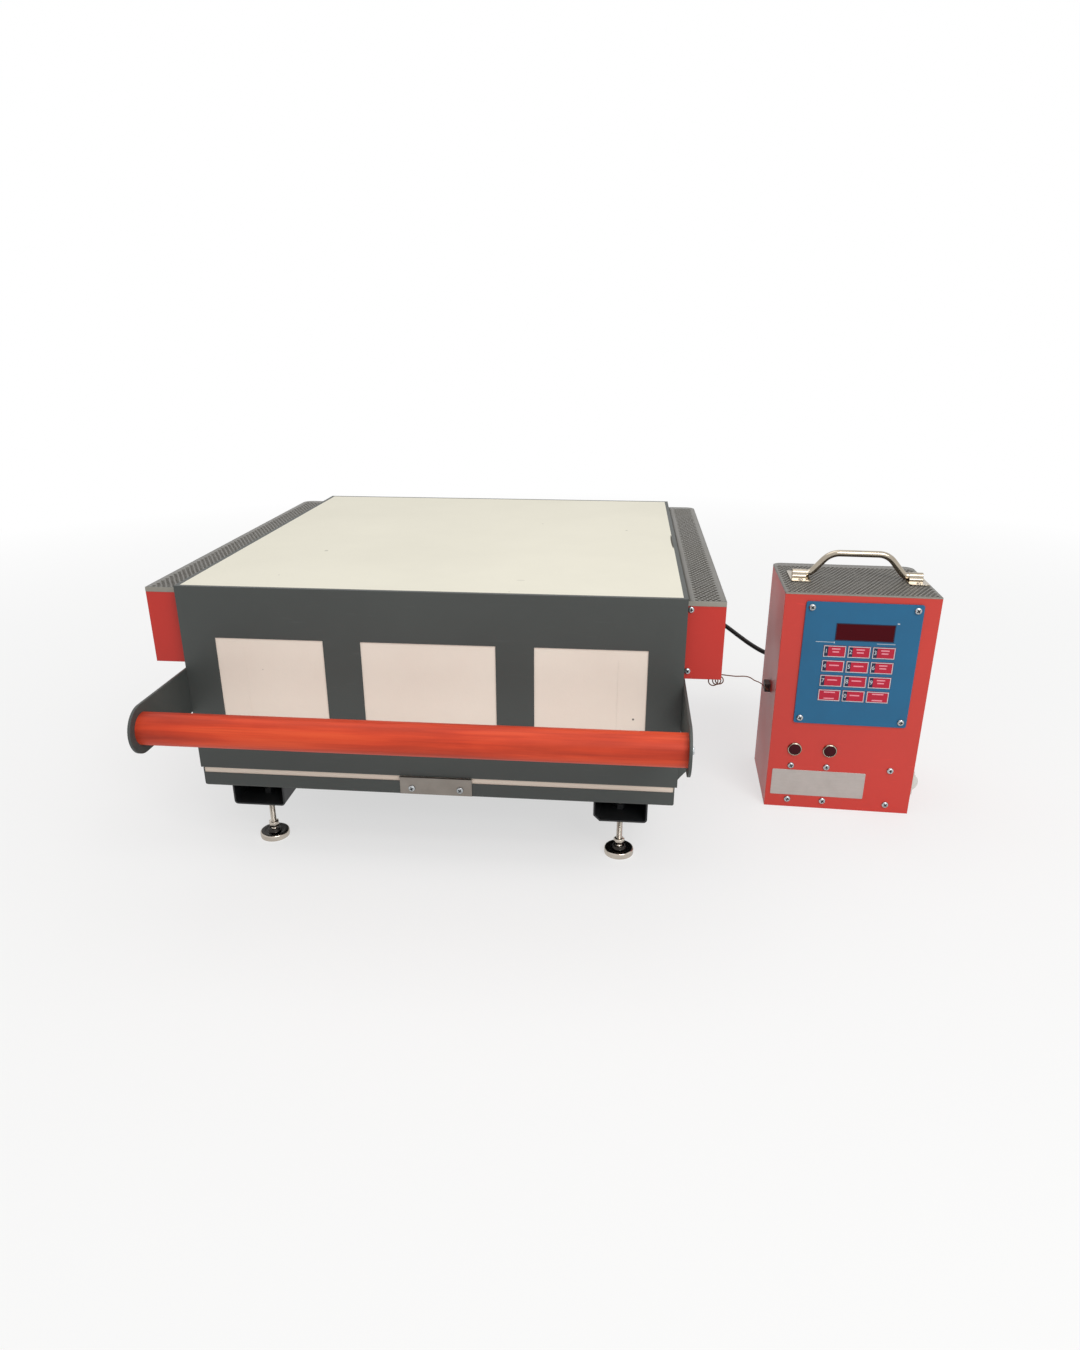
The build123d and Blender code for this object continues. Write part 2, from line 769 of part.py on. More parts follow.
key_names = ("key_1", "key_2", "key_3", "key_4", "key_5", "key_6", "key_7", "key_8", "key_9",
             "key_left", "key_0", "key_right")
for key_name, key_place in zip(key_names, key_places):
    with BuildPart() as key:
        with BuildSketch(ctrl_upright(-face_thickness - key_proud)):
            with Locations(key_place):
                Rectangle(key_width, key_height)
        extrude(amount=-key_thickness)
        fillet(key.faces().sort_by(ctrl_axis)[0].edges(), key_proud / 2)
    save(key, key_name)

# Circuit board behind the faceplate, on four posts, with the display and the key switches
with BuildPart() as control_board:
    with BuildSketch(ctrl_upright(board_front)):
        rect(face_left + board_inset, face_left + face_width - board_inset,
             face_bottom + board_inset, face_bottom + face_height - board_inset)
    extrude(amount=-board_thickness)
    with BuildSketch(ctrl_upright(board_front)):
        with Locations(*face_screws):
            Circle(board_post_radius)
    extrude(amount=board_front - ctrl_sheet)
    with BuildSketch(ctrl_upright(board_front)):
        with Locations(display_place):
            Rectangle(display_width - 2 * board_inset, display_height - board_inset)
    extrude(amount=board_front)
    with BuildSketch(ctrl_upright(board_front)):
        with Locations(*key_places):
            Circle(board_post_radius)
    extrude(amount=board_front - switch_front)
save(control_board, "control_board")

# Relay and terminal block, behind the screws in the controller's lower front
with BuildPart() as power_gear:
    gear_low = gear_rows[0] - gear_margin
    gear_high = gear_rows[1] + gear_margin
    with BuildSketch(ctrl_upright(ctrl_sheet)):
        rect(gear_columns[0] - gear_margin, gear_columns[1] + gear_margin, gear_low, gear_high)
    extrude(amount=-relay_depth)
    with BuildSketch(ctrl_upright(ctrl_sheet)):
        rect(gear_columns[2] - gear_margin, gear_columns[2] + gear_margin, gear_low, gear_high)
    extrude(amount=-terminal_depth)
save(power_gear, "power_gear")

# Indicator lamps: a round lens on a barrel, inside a metal bezel
with BuildPart() as lamp_bezels:
    with BuildSketch(ctrl_upright(0)):
        with Locations(*lamp_places):
            Circle(lamp_bezel_radius)
            Circle(lamp_lens_radius, mode=Mode.SUBTRACT)
    extrude(amount=lamp_proud)
    chamfer(lamp_bezels.edges().filter_by(GeomType.CIRCLE).group_by(ctrl_axis)[0],
            (lamp_bezel_radius - lamp_lens_radius) / 3)
save(lamp_bezels, "lamp_bezels")

with BuildPart() as lamp_lenses:
    with BuildSketch(ctrl_upright(0)):
        with Locations(*lamp_places):
            Circle(lamp_lens_radius - fixed_clearance)
    extrude(amount=lamp_proud)
    fillet(lamp_lenses.edges().filter_by(GeomType.CIRCLE).group_by(ctrl_axis)[0], lamp_proud / 2)
    with BuildSketch(ctrl_upright(0)):
        with Locations(*lamp_places):
            Circle(lamp_barrel_radius)
    extrude(amount=-lamp_barrel)
save(lamp_lenses, "lamp_lenses")

# Pan-head screws of the front plate, the faceplate and the controller's front
plate_screws = [(plate_x + hand * plate_screw_spacing / 2, plate_bottom + plate_screw_height)
                for hand in (-1, 1)]
gear_screws = [(u, z) for u in gear_columns for z in gear_rows]
panel_screws = heads([(upright(-plate_sheet), plate_screws),
                      (ctrl_upright(-face_thickness), face_screws),
                      (ctrl_upright(0), gear_screws)])
save(panel_screws, "panel_screws")

# Plates that carry the bail, each with a formed tunnel for the bail's end
with BuildPart() as bail_plates:
    tunnel_radius = bail_radius + bail_wall
    for hand in (-1, 1):
        inner_u = bail_middle + hand * bail_half_span
        with BuildSketch(ctrl_level(ctrl_height)) as plate:
            rect(inner_u, inner_u + hand * bail_plate_width,
                 bail_setback - bail_plate_depth / 2, bail_setback + bail_plate_depth / 2)
            fillet(plate.vertices(), face_corner)
        extrude(amount=bail_plate_sheet)
        with BuildSketch(ctrl_side(inner_u)):
            with Locations((bail_setback, bail_z)):
                Circle(tunnel_radius)
            rect(bail_setback - tunnel_radius, bail_setback + tunnel_radius, ctrl_height, bail_z)
        extrude(amount=hand * bail_plate_width)
        with BuildSketch(ctrl_side(inner_u)):
            with Locations((bail_setback, bail_z)):
                Circle(bail_radius + running_clearance)
        extrude(amount=hand * bail_plate_width, mode=Mode.SUBTRACT)
save(bail_plates, "bail_plates")

# Bail: a bent rod that swings in the plates' tunnels
bail_end = bail_half_span + bail_grip
bail_foot = bail_half_span - bail_bend / 2
with BuildPart() as bail:
    with BuildLine(ctrl_upright(bail_setback)) as bail_path:
        FilletPolyline((bail_middle - bail_end, bail_z), (bail_middle - bail_foot, bail_z),
                       (bail_middle - bail_half_top, bail_z + bail_rise),
                       (bail_middle + bail_half_top, bail_z + bail_rise),
                       (bail_middle + bail_foot, bail_z), (bail_middle + bail_end, bail_z),
                       radius=bail_bend)
    with BuildSketch(ctrl_side(bail_middle - bail_end)):
        with Locations((bail_setback, bail_z)):
            Circle(bail_radius)
    sweep(path=bail_path.line)
save(bail, "controller_bail")

# Power switch: a frame in the controller's side and the rocker that tilts in it
rocker_inner = (rocker_width / 2 + body_clearance, rocker_length / 2 + body_clearance)
rocker_sleeve = (rocker_inner[0] + rocker_wall, rocker_inner[1] + rocker_wall)
rocker_rim = (rocker_sleeve[0] + rocker_frame, rocker_sleeve[1] + rocker_frame)


def rocker_opening(half_sizes, mode=Mode.ADD):
    """Rectangle around the rocker's middle, from its half width and half length."""
    with Locations((rocker_setback, rocker_height)):
        Rectangle(2 * half_sizes[0], 2 * half_sizes[1], mode=mode)


with BuildPart() as switch_frame:
    with BuildSketch(ctrl_side(ctrl_width)):
        rocker_opening(rocker_rim)
    extrude(amount=rocker_frame_proud)
    with BuildSketch(ctrl_side(ctrl_width)):
        rocker_opening(rocker_sleeve)
    extrude(amount=-rocker_sleeve_depth)
    with BuildSketch(ctrl_side(ctrl_width + rocker_frame_proud)):
        rocker_opening(rocker_inner)
    extrude(amount=-(rocker_sleeve_depth + rocker_frame_proud - rocker_wall), mode=Mode.SUBTRACT)
    with BuildSketch(ctrl_upright(rocker_setback - rocker_sleeve[0])):
        with Locations((ctrl_width - rocker_pivot_depth, rocker_height)):
            Circle(rocker_shaft + running_clearance)
    extrude(amount=-2 * rocker_sleeve[0], mode=Mode.SUBTRACT)
save(switch_frame, "switch_frame")

rocker_lean = radians(rocker_rest)
rocker_pivot = (ctrl_corner_point + ctrl_right * (ctrl_width - rocker_pivot_depth)
                + Vector(0, 0, rocker_height))
rocker_out = Vector(ctrl_right.X * cos(rocker_lean), ctrl_right.Y * cos(rocker_lean), sin(rocker_lean))
rocker_face = rocker_proud + rocker_pivot_depth
with BuildPart() as rocker:
    front_v = rocker_setback - rocker_width / 2
    with BuildSketch(Plane(origin=rocker_pivot + ctrl_back * front_v, x_dir=rocker_out,
                           z_dir=-ctrl_back)):
        with BuildLine():
            Polyline((0, -rocker_length / 2), (-rocker_root, -rocker_length / 3),
                     (-rocker_root, rocker_length / 3), (0, rocker_length / 2))
            ThreePointArc((0, rocker_length / 2), (rocker_face, 0), (0, -rocker_length / 2))
        make_face()
    extrude(amount=-rocker_width)
    with BuildSketch(Plane(origin=rocker_pivot + ctrl_back * (rocker_setback - rocker_sleeve[0]),
                           x_dir=ctrl_right, z_dir=-ctrl_back)):
        Circle(rocker_shaft)
    extrude(amount=-2 * rocker_sleeve[0])
save(rocker, "power_rocker")


def make_gland(name, plane, place):
    """Strain relief: flange and tapered neck, standing on the given plane."""
    with BuildPart() as gland:
        with BuildSketch(plane):
            with Locations(place):
                Circle(gland_radius)
        extrude(amount=gland_flange)
        with BuildSketch(plane.offset(gland_flange)):
            with Locations(place):
                Circle(gland_neck)
        extrude(amount=gland_length - gland_flange, taper=gland_taper)
    save(gland, name)


ctrl_rear = Plane(origin=ctrl_upright(ctrl_depth).origin, x_dir=-ctrl_right, z_dir=ctrl_back)
box_floor = Plane(origin=level(box_bottom).origin, x_dir=(1, 0, 0), z_dir=(0, 0, -1))
make_gland("lid_gland", box_floor, (lid_gland_x, -lid_gland_y))
make_gland("controller_gland", ctrl_rear, (-ctrl_gland_left, ctrl_gland_height))

# Thermocouple plug in the controller's left side
with BuildPart() as plug:
    with BuildSketch(ctrl_side(0)) as plug_plan:
        rect(plug_setback, plug_setback + plug_length, plug_bottom, plug_bottom + plug_height)
    extrude(amount=-plug_proud)
    fillet(plug.edges().filter_by(Axis.Z).group_by(Axis(ctrl_corner_point, ctrl_right))[0],
           plug_proud / 4)
save(plug, "thermocouple_plug")

# Coiled start of the thermocouple lead, under the right terminal box
coil_z = box_bottom - closing_gap - coil_radius
with BuildPart() as coil:
    with BuildSketch(side(coil_left)):
        with Locations((coil_y, coil_z)):
            Circle(coil_radius)
    extrude(amount=coil_length)
save(coil, "thermocouple_coil")


def cord_tube(name, route, diameter):
    """Tube of straight runs and tangent arcs through a route in the kiln's own places."""
    points = [Vector(kiln_x + x, kiln_y + y, z) for x, y, z in route]
    radii = []
    for before, corner, after in zip(points, points[1:], points[2:]):
        shorter = min((corner - before).length, (after - corner).length)
        half_turn = radians((corner - before).get_angle(after - corner)) / 2
        radii.append(0.45 * shorter / tan(half_turn))
    print(name, "bend radii", [round(r, 1) for r in radii])
    with BuildPart() as tube:
        with BuildLine() as path:
            FilletPolyline(*points, radius=radii)
        length = path.wire().length
        with BuildSketch(Plane(origin=points[0], z_dir=points[1] - points[0])):
            Circle(diameter / 2)
        sweep(path=path.line)
    section = 3.14159 * diameter ** 2 / 4
    print(name, "length", round(length, 1), "volume / section",
          round(tube.part.volume / section, 1))
    save(tube, name)


# Load cord: down out of the right terminal box, slack behind the controller, into its rear gland
load_end = (ctrl_corner_point + ctrl_right * ctrl_gland_left + ctrl_back * (ctrl_depth + gland_length)
            + Vector(-kiln_x, -kiln_y, ctrl_gland_height))
load_exit = load_end + ctrl_back * load_cord_lead
cord_tube("load_cord", [
    (lid_gland_x, lid_gland_y, box_bottom - gland_length),
    (330, 560, 225), (337, 559, 208), (350.5, 556.5, 194.5), (368, 551, 185), (390, 541, 176.5),
    (414, 525, 166), (435, 504, 155), (455, 481, 146.5), (476, 458.5, 141), (499, 445, 139.6),
    (522.5, 432.9, 140.8), (541.2, 423.4, 143), (553.9, 409.3, 146.8),
    load_exit, load_end], cord_diameter)

# Thermocouple lead: from its coil under the terminal box to the plug
plug_entry = (ctrl_corner_point - ctrl_right * plug_proud / 2 + ctrl_back * plug_setback
              + Vector(-kiln_x, -kiln_y, plug_bottom + plug_height / 2))
plug_run = plug_entry - ctrl_back * lead_entry
cord_tube("thermocouple_lead", [
    (coil_left + coil_length, coil_y, 255), (372, 50, 255), (385, 60, 252), (395, 82, 241.5),
    (404, 112, 226.5), (414, 150, 210.5), (425.5, 186, 194), (435.5, 212, 179), (441.8, 226.5, 168.5),
    plug_run, plug_entry], lead_diameter)
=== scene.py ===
"""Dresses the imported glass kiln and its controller, and lights them for one picture."""
import logging
import math
from dataclasses import dataclass, field
from enum import Enum
from typing import Optional, Sequence, Union

import bmesh
import bpy
from mathutils import Matrix, Quaternion, Vector


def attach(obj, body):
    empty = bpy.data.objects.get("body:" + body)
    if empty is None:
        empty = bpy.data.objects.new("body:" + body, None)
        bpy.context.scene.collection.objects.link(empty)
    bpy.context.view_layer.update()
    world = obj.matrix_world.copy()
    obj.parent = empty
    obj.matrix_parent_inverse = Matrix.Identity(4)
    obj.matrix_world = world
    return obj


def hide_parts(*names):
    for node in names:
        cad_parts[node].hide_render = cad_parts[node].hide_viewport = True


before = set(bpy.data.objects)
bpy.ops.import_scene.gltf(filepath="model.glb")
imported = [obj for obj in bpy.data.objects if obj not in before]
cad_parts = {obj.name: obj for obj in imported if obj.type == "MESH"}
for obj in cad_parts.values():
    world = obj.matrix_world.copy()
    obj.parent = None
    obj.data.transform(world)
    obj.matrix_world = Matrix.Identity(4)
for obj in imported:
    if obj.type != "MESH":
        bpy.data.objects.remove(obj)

LOG = logging.getLogger("kiln")
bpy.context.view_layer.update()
MM = 0.001
UP, RIGHT, FORWARD, BACK = (0, 0, 1), (1, 0, 0), (0, -1, 0), (0, 1, 0)
Point = tuple[float, float, float]
Area = tuple[float, float, float, float]
Colour = tuple[float, float, float, float]
Socket = bpy.types.NodeSocket
Value = Union[float, Socket]
Outputs = bpy.types.bpy_prop_collection
Ring = list[bmesh.types.BMVert]


@dataclass(frozen=True)
class Place:
    """The spot where one thing stands, and its turn about the vertical.

    Args:
        x: the local origin's place across the set, in millimetres.
        y: the local origin's place from front to back, in millimetres.
        turn: the turn about the vertical, in degrees.
    """

    x: float
    y: float
    turn: float = 0.0

    def matrix(self) -> Matrix:
        """The matrix from local millimetres to the frame's metres."""
        spot = Matrix.Translation((self.x * MM, self.y * MM, 0.0))
        return spot @ Matrix.Rotation(math.radians(self.turn), 4, "Z") @ Matrix.Scale(MM, 4)

    def at(self, x: float, y: float, z: float) -> Vector:
        """A local point in the frame's metres."""
        return self.matrix() @ Vector((x, y, z))


KILN = Place(-154.868, -244.375)
CONTROLLER = Place(292.832, -51.775, -2.2)


def srgb(red: int, green: int, blue: int) -> Colour:
    """Linear colour of an 8-bit display colour."""
    linear = [((v / 255 + 0.055) / 1.055) ** 2.4 if v > 10 else v / 3294.6 for v in (red, green, blue)]
    return (linear[0], linear[1], linear[2], 1.0)


def scaled(colour: Colour, factor: float) -> Colour:
    """A colour made lighter or darker."""
    return (min(1.0, colour[0] * factor), min(1.0, colour[1] * factor), min(1.0, colour[2] * factor), 1.0)


class Net:
    """Short-hand for the nodes of one tree.

    Args:
        tree: the node tree that the nodes are put in.
    """

    def __init__(self, tree: bpy.types.NodeTree) -> None:
        """Starts on an empty tree."""
        self.tree = tree
        self.tree.nodes.clear()

    def feed(self, node: bpy.types.Node, feeds: dict) -> None:
        """Sets a node's inputs, or links them where the value is a socket."""
        for key, value in feeds.items():
            if isinstance(value, Socket):
                self.tree.links.new(value, node.inputs[key])
            else:
                node.inputs[key].default_value = value

    def put(self, kind: str, feeds: Optional[dict] = None, **settings: object) -> bpy.types.Node:
        """Adds a node.

        Args:
            kind: the node type without its ShaderNode prefix, or a full name.
            feeds: values or output sockets, by input name or number.
            settings: the node's own properties.

        Returns:
            The node.
        """
        node = self.tree.nodes.new(kind if kind.startswith("Node") else "ShaderNode" + kind)
        for key, value in settings.items():
            setattr(node, key, value)
        self.feed(node, feeds or {})
        return node

    def math(self, operation: str, first: Value, second: Value = 0.0, clamp: bool = False) -> Socket:
        """One step of arithmetic on two values, kept between 0 and 1 where it is clamped."""
        return self.put("Math", {0: first, 1: second}, operation=operation, use_clamp=clamp).outputs[0]

    def vector(self, operation: str, *values: object) -> Outputs:
        """One step of arithmetic on vectors."""
        return self.put("VectorMath", dict(enumerate(values)), operation=operation).outputs

    def mix(self, share: Value, first: object, second: object) -> Socket:
        """A colour mixed from two, with the share of the second."""
        return self.put("Mix", {0: share, 6: first, 7: second}, data_type="RGBA").outputs[2]

    def ramp(self, value: Socket, low: float, high: float) -> Socket:
        """A value stretched so that low becomes 0 and high becomes 1, clamped."""
        return self.put("MapRange", {"Value": value, "From Min": low, "From Max": high}).outputs["Result"]

    def place(self, stretch: Optional[Point] = None) -> Socket:
        """The place on the object in metres, stretched where factors are given."""
        spot = self.put("TexCoord").outputs["Object"]
        return self.vector("MULTIPLY", spot, stretch)[0] if stretch else spot

    def noise(self, place: Socket, scale: Value, detail: float = 2.0, **more: float) -> Socket:
        """Cloudy noise from 0 to 1; more are its further inputs by name."""
        feeds = {"Vector": place, "Scale": scale, "Detail": detail, **more}
        return self.put("TexNoise", feeds).outputs["Fac"]

    def upward(self) -> Socket:
        """How far the face looks up."""
        return self.put("SeparateXYZ", {0: self.put("NewGeometry").outputs["Normal"]}).outputs["Z"]

    def seen(self) -> Socket:
        """1 for what the camera sees, directly, by reflection or through something clear."""
        light = self.put("LightPath").outputs
        direct = self.math("MAXIMUM", light["Is Camera Ray"], light["Is Glossy Ray"])
        return self.math("MAXIMUM", direct, light["Is Transmission Ray"])


class Effect(Enum):
    """The node groups that several materials share."""

    MOTTLE = "mottle"
    EDGES = "edges"
    SCUFFS = "scuffs"
    DUST = "dust"


class EffectLibrary:
    """Builds each shared node group once."""

    INPUTS: dict[Effect, dict[str, float]] = {
        Effect.MOTTLE: {"Scale": 8.0, "Grit Scale": 900.0},
        Effect.EDGES: {"Radius": 0.0008, "Amount": 0.6, "Breakup": 60.0},
        Effect.SCUFFS: {"Scale": 30.0, "Amount": 0.4},
        Effect.DUST: {"Amount": 0.3}}

    def __init__(self) -> None:
        """Starts with no group built."""
        self._built: dict[Effect, bpy.types.NodeTree] = {}

    def place(self, net: Net, effect: Effect, **values: float) -> Outputs:
        """Places an effect in a material, and builds its group the first time.

        Args:
            net: the material's nodes.
            effect: the effect.
            values: the group's inputs, with underscores for spaces.

        Returns:
            The group node's outputs.
        """
        if effect not in self._built:
            self._built[effect] = self._build(effect)
        node = net.put("Group", node_tree=self._built[effect])
        net.feed(node, {key.replace("_", " "): value for key, value in values.items()})
        return node.outputs

    def _build(self, effect: Effect) -> bpy.types.NodeTree:
        """An effect's group, with its inputs, its nodes and its outputs."""
        tree = bpy.data.node_groups.new(effect.value, "ShaderNodeTree")
        for key, default in self.INPUTS[effect].items():
            socket = tree.interface.new_socket(key, in_out="INPUT", socket_type="NodeSocketFloat")
            socket.default_value = default
        net = Net(tree)
        maker = {Effect.MOTTLE: self._mottle, Effect.EDGES: self._edges, Effect.SCUFFS: self._scuffs,
                 Effect.DUST: self._dust}[effect]
        made = maker(net, net.put("NodeGroupInput").outputs)
        for key in made:
            kind = "NodeSocketVector" if key == "Normal" else "NodeSocketFloat"
            tree.interface.new_socket(key, in_out="OUTPUT", socket_type=kind)
        net.put("NodeGroupOutput", made)
        return tree

    @staticmethod
    def _mottle(net: Net, given: Outputs) -> dict[str, Socket]:
        """Cloudy tone and a finer grit, from 0 to 1."""
        place = net.place()
        cloud = net.noise(place, given["Scale"], 5.0, Roughness=0.62)
        return {"Tone": net.ramp(cloud, 0.3, 0.7), "Grit": net.noise(place, given["Grit Scale"])}

    @staticmethod
    def _edges(net: Net, given: Outputs) -> dict[str, Socket]:
        """Broken mask along sharp edges, and a normal that rounds them."""
        bevel = net.put("Bevel", {"Radius": given["Radius"]}, samples=4).outputs[0]
        dot = net.vector("DOT_PRODUCT", bevel, net.put("NewGeometry").outputs["Normal"])["Value"]
        bend = net.ramp(net.math("SUBTRACT", 1.0, dot), 0.01, 0.16)
        noise = net.noise(net.place(), given["Breakup"], 4.0)
        broken = net.math("MULTIPLY", bend, net.ramp(noise, 0.38, 0.62))
        return {"Mask": net.math("MULTIPLY", broken, given["Amount"], True), "Normal": bevel}

    @staticmethod
    def _scuffs(net: Net, given: Outputs) -> dict[str, Socket]:
        """Short faint scratches that run mostly across the set."""
        thin = net.noise(net.place((1.0, 1.0, 9.0)), given["Scale"], 8.0, Distortion=0.4)
        patch = net.ramp(net.noise(net.place(), 6.0), 0.45, 0.65)
        spots = net.math("MULTIPLY", net.ramp(thin, 0.63, 0.7), patch)
        return {"Mask": net.math("MULTIPLY", spots, given["Amount"], True)}

    @staticmethod
    def _dust(net: Net, given: Outputs) -> dict[str, Socket]:
        """Light film of dust on faces that look up."""
        noise = net.noise(net.place(), 14.0, 6.0, Roughness=0.7)
        film = net.math("MULTIPLY", net.ramp(net.upward(), 0.4, 1.0), net.ramp(noise, 0.35, 0.75))
        return {"Mask": net.math("MULTIPLY", film, given["Amount"], True)}


EFFECTS = EffectLibrary()


@dataclass(frozen=True)
class Finish:
    """A finish, and what every finish shares.

    Args:
        name: the material's name.
        colour: its linear colour.
        roughness: its mean roughness.
        slot: the record's material slot; not used.
    """

    name: str
    colour: Colour
    roughness: float
    slot: str

    def make(self) -> bpy.types.Material:
        """The material, built the first time it is asked for."""
        found = bpy.data.materials.get(self.name)
        if found is None:
            found = bpy.data.materials.new(self.name)
            found.use_nodes = True
            net = Net(found.node_tree)
            shader = net.put("BsdfPrincipled")
            net.put("OutputMaterial", {"Surface": shader.outputs[0]})
            net.feed(shader, self.dress(net))
        return found

    def dress(self, net: Net) -> dict[str, object]:
        """What feeds the shader, by its sockets' names; each kind of finish has its own way."""
        raise NotImplementedError

    def tinted(self, net: Net, tone: Socket, variety: float) -> Socket:
        """The colour, wandering a little darker and lighter with a tone."""
        return net.mix(tone, scaled(self.colour, 1 - variety), scaled(self.colour, 1 + variety))

    @staticmethod
    def layered(net: Net, base: Socket, *layers: tuple[Socket, Colour]) -> Socket:
        """A base colour with masked colours laid over it in turn."""
        for mask, colour in layers:
            base = net.mix(mask, base, colour)
        return base

    @staticmethod
    def summed(net: Net, start: float, *shares: tuple[Socket, float]) -> Socket:
        """A start value plus the shares of masks, kept between 0 and 1."""
        total: Value = start
        for mask, share in shares:
            total = net.math("ADD", total, net.math("MULTIPLY", mask, share), True)
        return total

    @staticmethod
    def bump(net: Net, height: Socket, depth: float, strength: float,
             normal: Optional[Socket] = None) -> Socket:
        """A bumped normal.

        Args:
            net: the material's nodes.
            height: the height, from 0 to 1.
            depth: the height's real size in metres.
            strength: the bump's strength.
            normal: the normal that it starts from.

        Returns:
            The normal's socket.
        """
        feeds: dict = {"Height": height, "Distance": depth, "Strength": strength}
        if normal is not None:
            feeds["Normal"] = normal
        return net.put("Bump", feeds).outputs[0]


@dataclass(frozen=True)
class Paint(Finish):
    """Powder coat or enamel on sheet metal.

    Args:
        worn: the colour where edges are worn.
        wear: how far edges are worn.
        coat: the weight of its clear coat.
        peel: the depth of its orange peel, in metres.
        variety: how far the tone wanders.
        dust: how much dust lies on it.
    """

    worn: Colour
    wear: float = 0.2
    coat: float = 0.0
    peel: float = 0.00006
    variety: float = 0.1
    dust: float = 0.05

    def dress(self, net: Net) -> dict[str, object]:
        """Tone, worn edges, scratches, dust and orange peel."""
        tone = EFFECTS.place(net, Effect.MOTTLE, Scale=7.0, Grit_Scale=700.0)
        edges = EFFECTS.place(net, Effect.EDGES, Amount=self.wear)
        scuffs = EFFECTS.place(net, Effect.SCUFFS, Amount=0.22)["Mask"]
        dust = EFFECTS.place(net, Effect.DUST, Amount=self.dust)["Mask"]
        base = self.layered(net, self.tinted(net, tone["Tone"], self.variety),
                            (scuffs, scaled(self.colour, 1.7)), (edges["Mask"], self.worn),
                            (dust, srgb(176, 170, 160)))
        return {"Base Color": base, "Coat Weight": self.coat, "Coat Roughness": 0.25,
                "Roughness": self.summed(net, self.roughness - 0.05, (tone["Tone"], 0.1), (dust, 0.3)),
                "Normal": self.bump(net, tone["Grit"], self.peel, 0.5, edges["Normal"])}


@dataclass(frozen=True)
class Metal(Finish):
    """Bare, plated or polished metal.

    Args:
        streak: how strongly it is brushed or streaked.
        stretch: the directions that the streaks ignore, as scale factors.
        tarnish: the darker colour in its patches.
        patch: how much of it the patches cover.
    """

    streak: float
    stretch: Point = (20.0, 400.0, 400.0)
    tarnish: Colour = srgb(120, 112, 104)
    patch: float = 0.4

    def dress(self, net: Net) -> dict[str, object]:
        """Patches, streaks and softened edges."""
        tone = EFFECTS.place(net, Effect.MOTTLE, Scale=35.0, Grit_Scale=1500.0)["Tone"]
        edges = EFFECTS.place(net, Effect.EDGES, Radius=0.0004, Amount=0.5)
        lines = net.noise(net.place(self.stretch), 3.0, 4.0)
        patches = net.mix(net.math("MULTIPLY", tone, self.patch), self.colour, self.tarnish)
        base = self.layered(net, patches,
                            (net.math("MULTIPLY", lines, self.streak), scaled(self.colour, 0.7)),
                            (edges["Mask"], scaled(self.colour, 1.25)))
        shares = ((tone, 0.12), (lines, 0.1 * self.streak))
        return {"Base Color": base, "Roughness": self.summed(net, self.roughness - 0.06, *shares),
                "Normal": self.bump(net, lines, 0.00004, self.streak, edges["Normal"]), "Metallic": 1.0}


@dataclass(frozen=True)
class Board(Finish):
    """Pressed ceramic fibre board: dull, faintly fibrous, with pits and a few specks.

    Args:
        warm: the warmer colour that it wanders to.
        specks: how strongly dark specks show.
        top: the colour of faces that look up, where it differs.
        marks: each worn mark's middle and half sizes in the kiln's millimetres, and its strength.
    """

    warm: Colour = srgb(222, 205, 190)
    specks: float = 0.5
    # top: the colour of faces that look up, where it differs: painted light, greyer and less pink than the
    # board's other faces, for how light falls on the top.
    top: Optional[Colour] = None
    # marks: each dark mark's middle and half sizes in the kiln's millimetres, and its strength; most are
    # specks, and one on the roof is painted shade.
    marks: tuple[tuple[Point, Point, float], ...] = ()

    def dress(self, net: Net) -> dict[str, object]:
        """Soft clouds, pits, fibres, specks and dark marks, among them painted shade."""
        tone = EFFECTS.place(net, Effect.MOTTLE, Scale=4.0, Grit_Scale=420.0)
        place = net.place()
        pits = net.put("TexVoronoi", {"Vector": place, "Scale": 26.0}, feature="F1").outputs["Distance"]
        rare = net.ramp(net.noise(place, 11.0, 1.0), 0.6, 0.66)
        dark = net.math("MULTIPLY", net.ramp(pits, 0.07, 0.02), rare)
        fibre = net.noise(place, 160.0, 6.0, Distortion=1.5)
        base = net.mix(net.math("MULTIPLY", tone["Tone"], 0.75), self.colour, self.warm)
        # Painted light: faces that look up take the top colour, greyer and less pink than the board's other
        # faces, for how light falls on them.
        if self.top is not None:
            pale = net.mix(tone["Tone"], self.top, scaled(self.top, 0.94))
            base = net.mix(net.ramp(net.upward(), 0.6, 0.9), base, pale)
        base = self.layered(net, base, (net.math("MULTIPLY", fibre, 0.1), scaled(self.colour, 0.8)),
                            (net.math("MULTIPLY", dark, self.specks), srgb(96, 84, 74)),
                            # The dark marks: specks, and on the roof the painted shade of a notch.
                            *((self.mark(net, place, *mark), srgb(48, 44, 40)) for mark in self.marks))
        relief = net.math("SUBTRACT", net.math("ADD", fibre, tone["Grit"]), dark)
        return {"Base Color": base, "Roughness": self.roughness, "Specular IOR Level": 0.25,
                "Normal": self.bump(net, relief, 0.00025, 0.35)}

    @staticmethod
    def mark(net: Net, place: Socket, middle: Point, halves: Point, strength: float) -> Socket:
        """The mask of one dark mark, such as a speck or the painted shade of a notch.

        Args:
            net: the material's nodes.
            place: the place on the object.
            middle: the mark's middle.
            halves: its half sizes.
            strength: how strongly it shows.

        Returns:
            The mask's socket.
        """
        away = net.vector("SUBTRACT", place, tuple(KILN.at(*middle)))[0]
        shares = net.vector("MULTIPLY", away, tuple(1 / (half * MM) for half in halves))[0]
        reach = net.vector("LENGTH", shares)["Value"]
        return net.math("MULTIPLY", net.ramp(reach, 1.0, 0.75), strength)


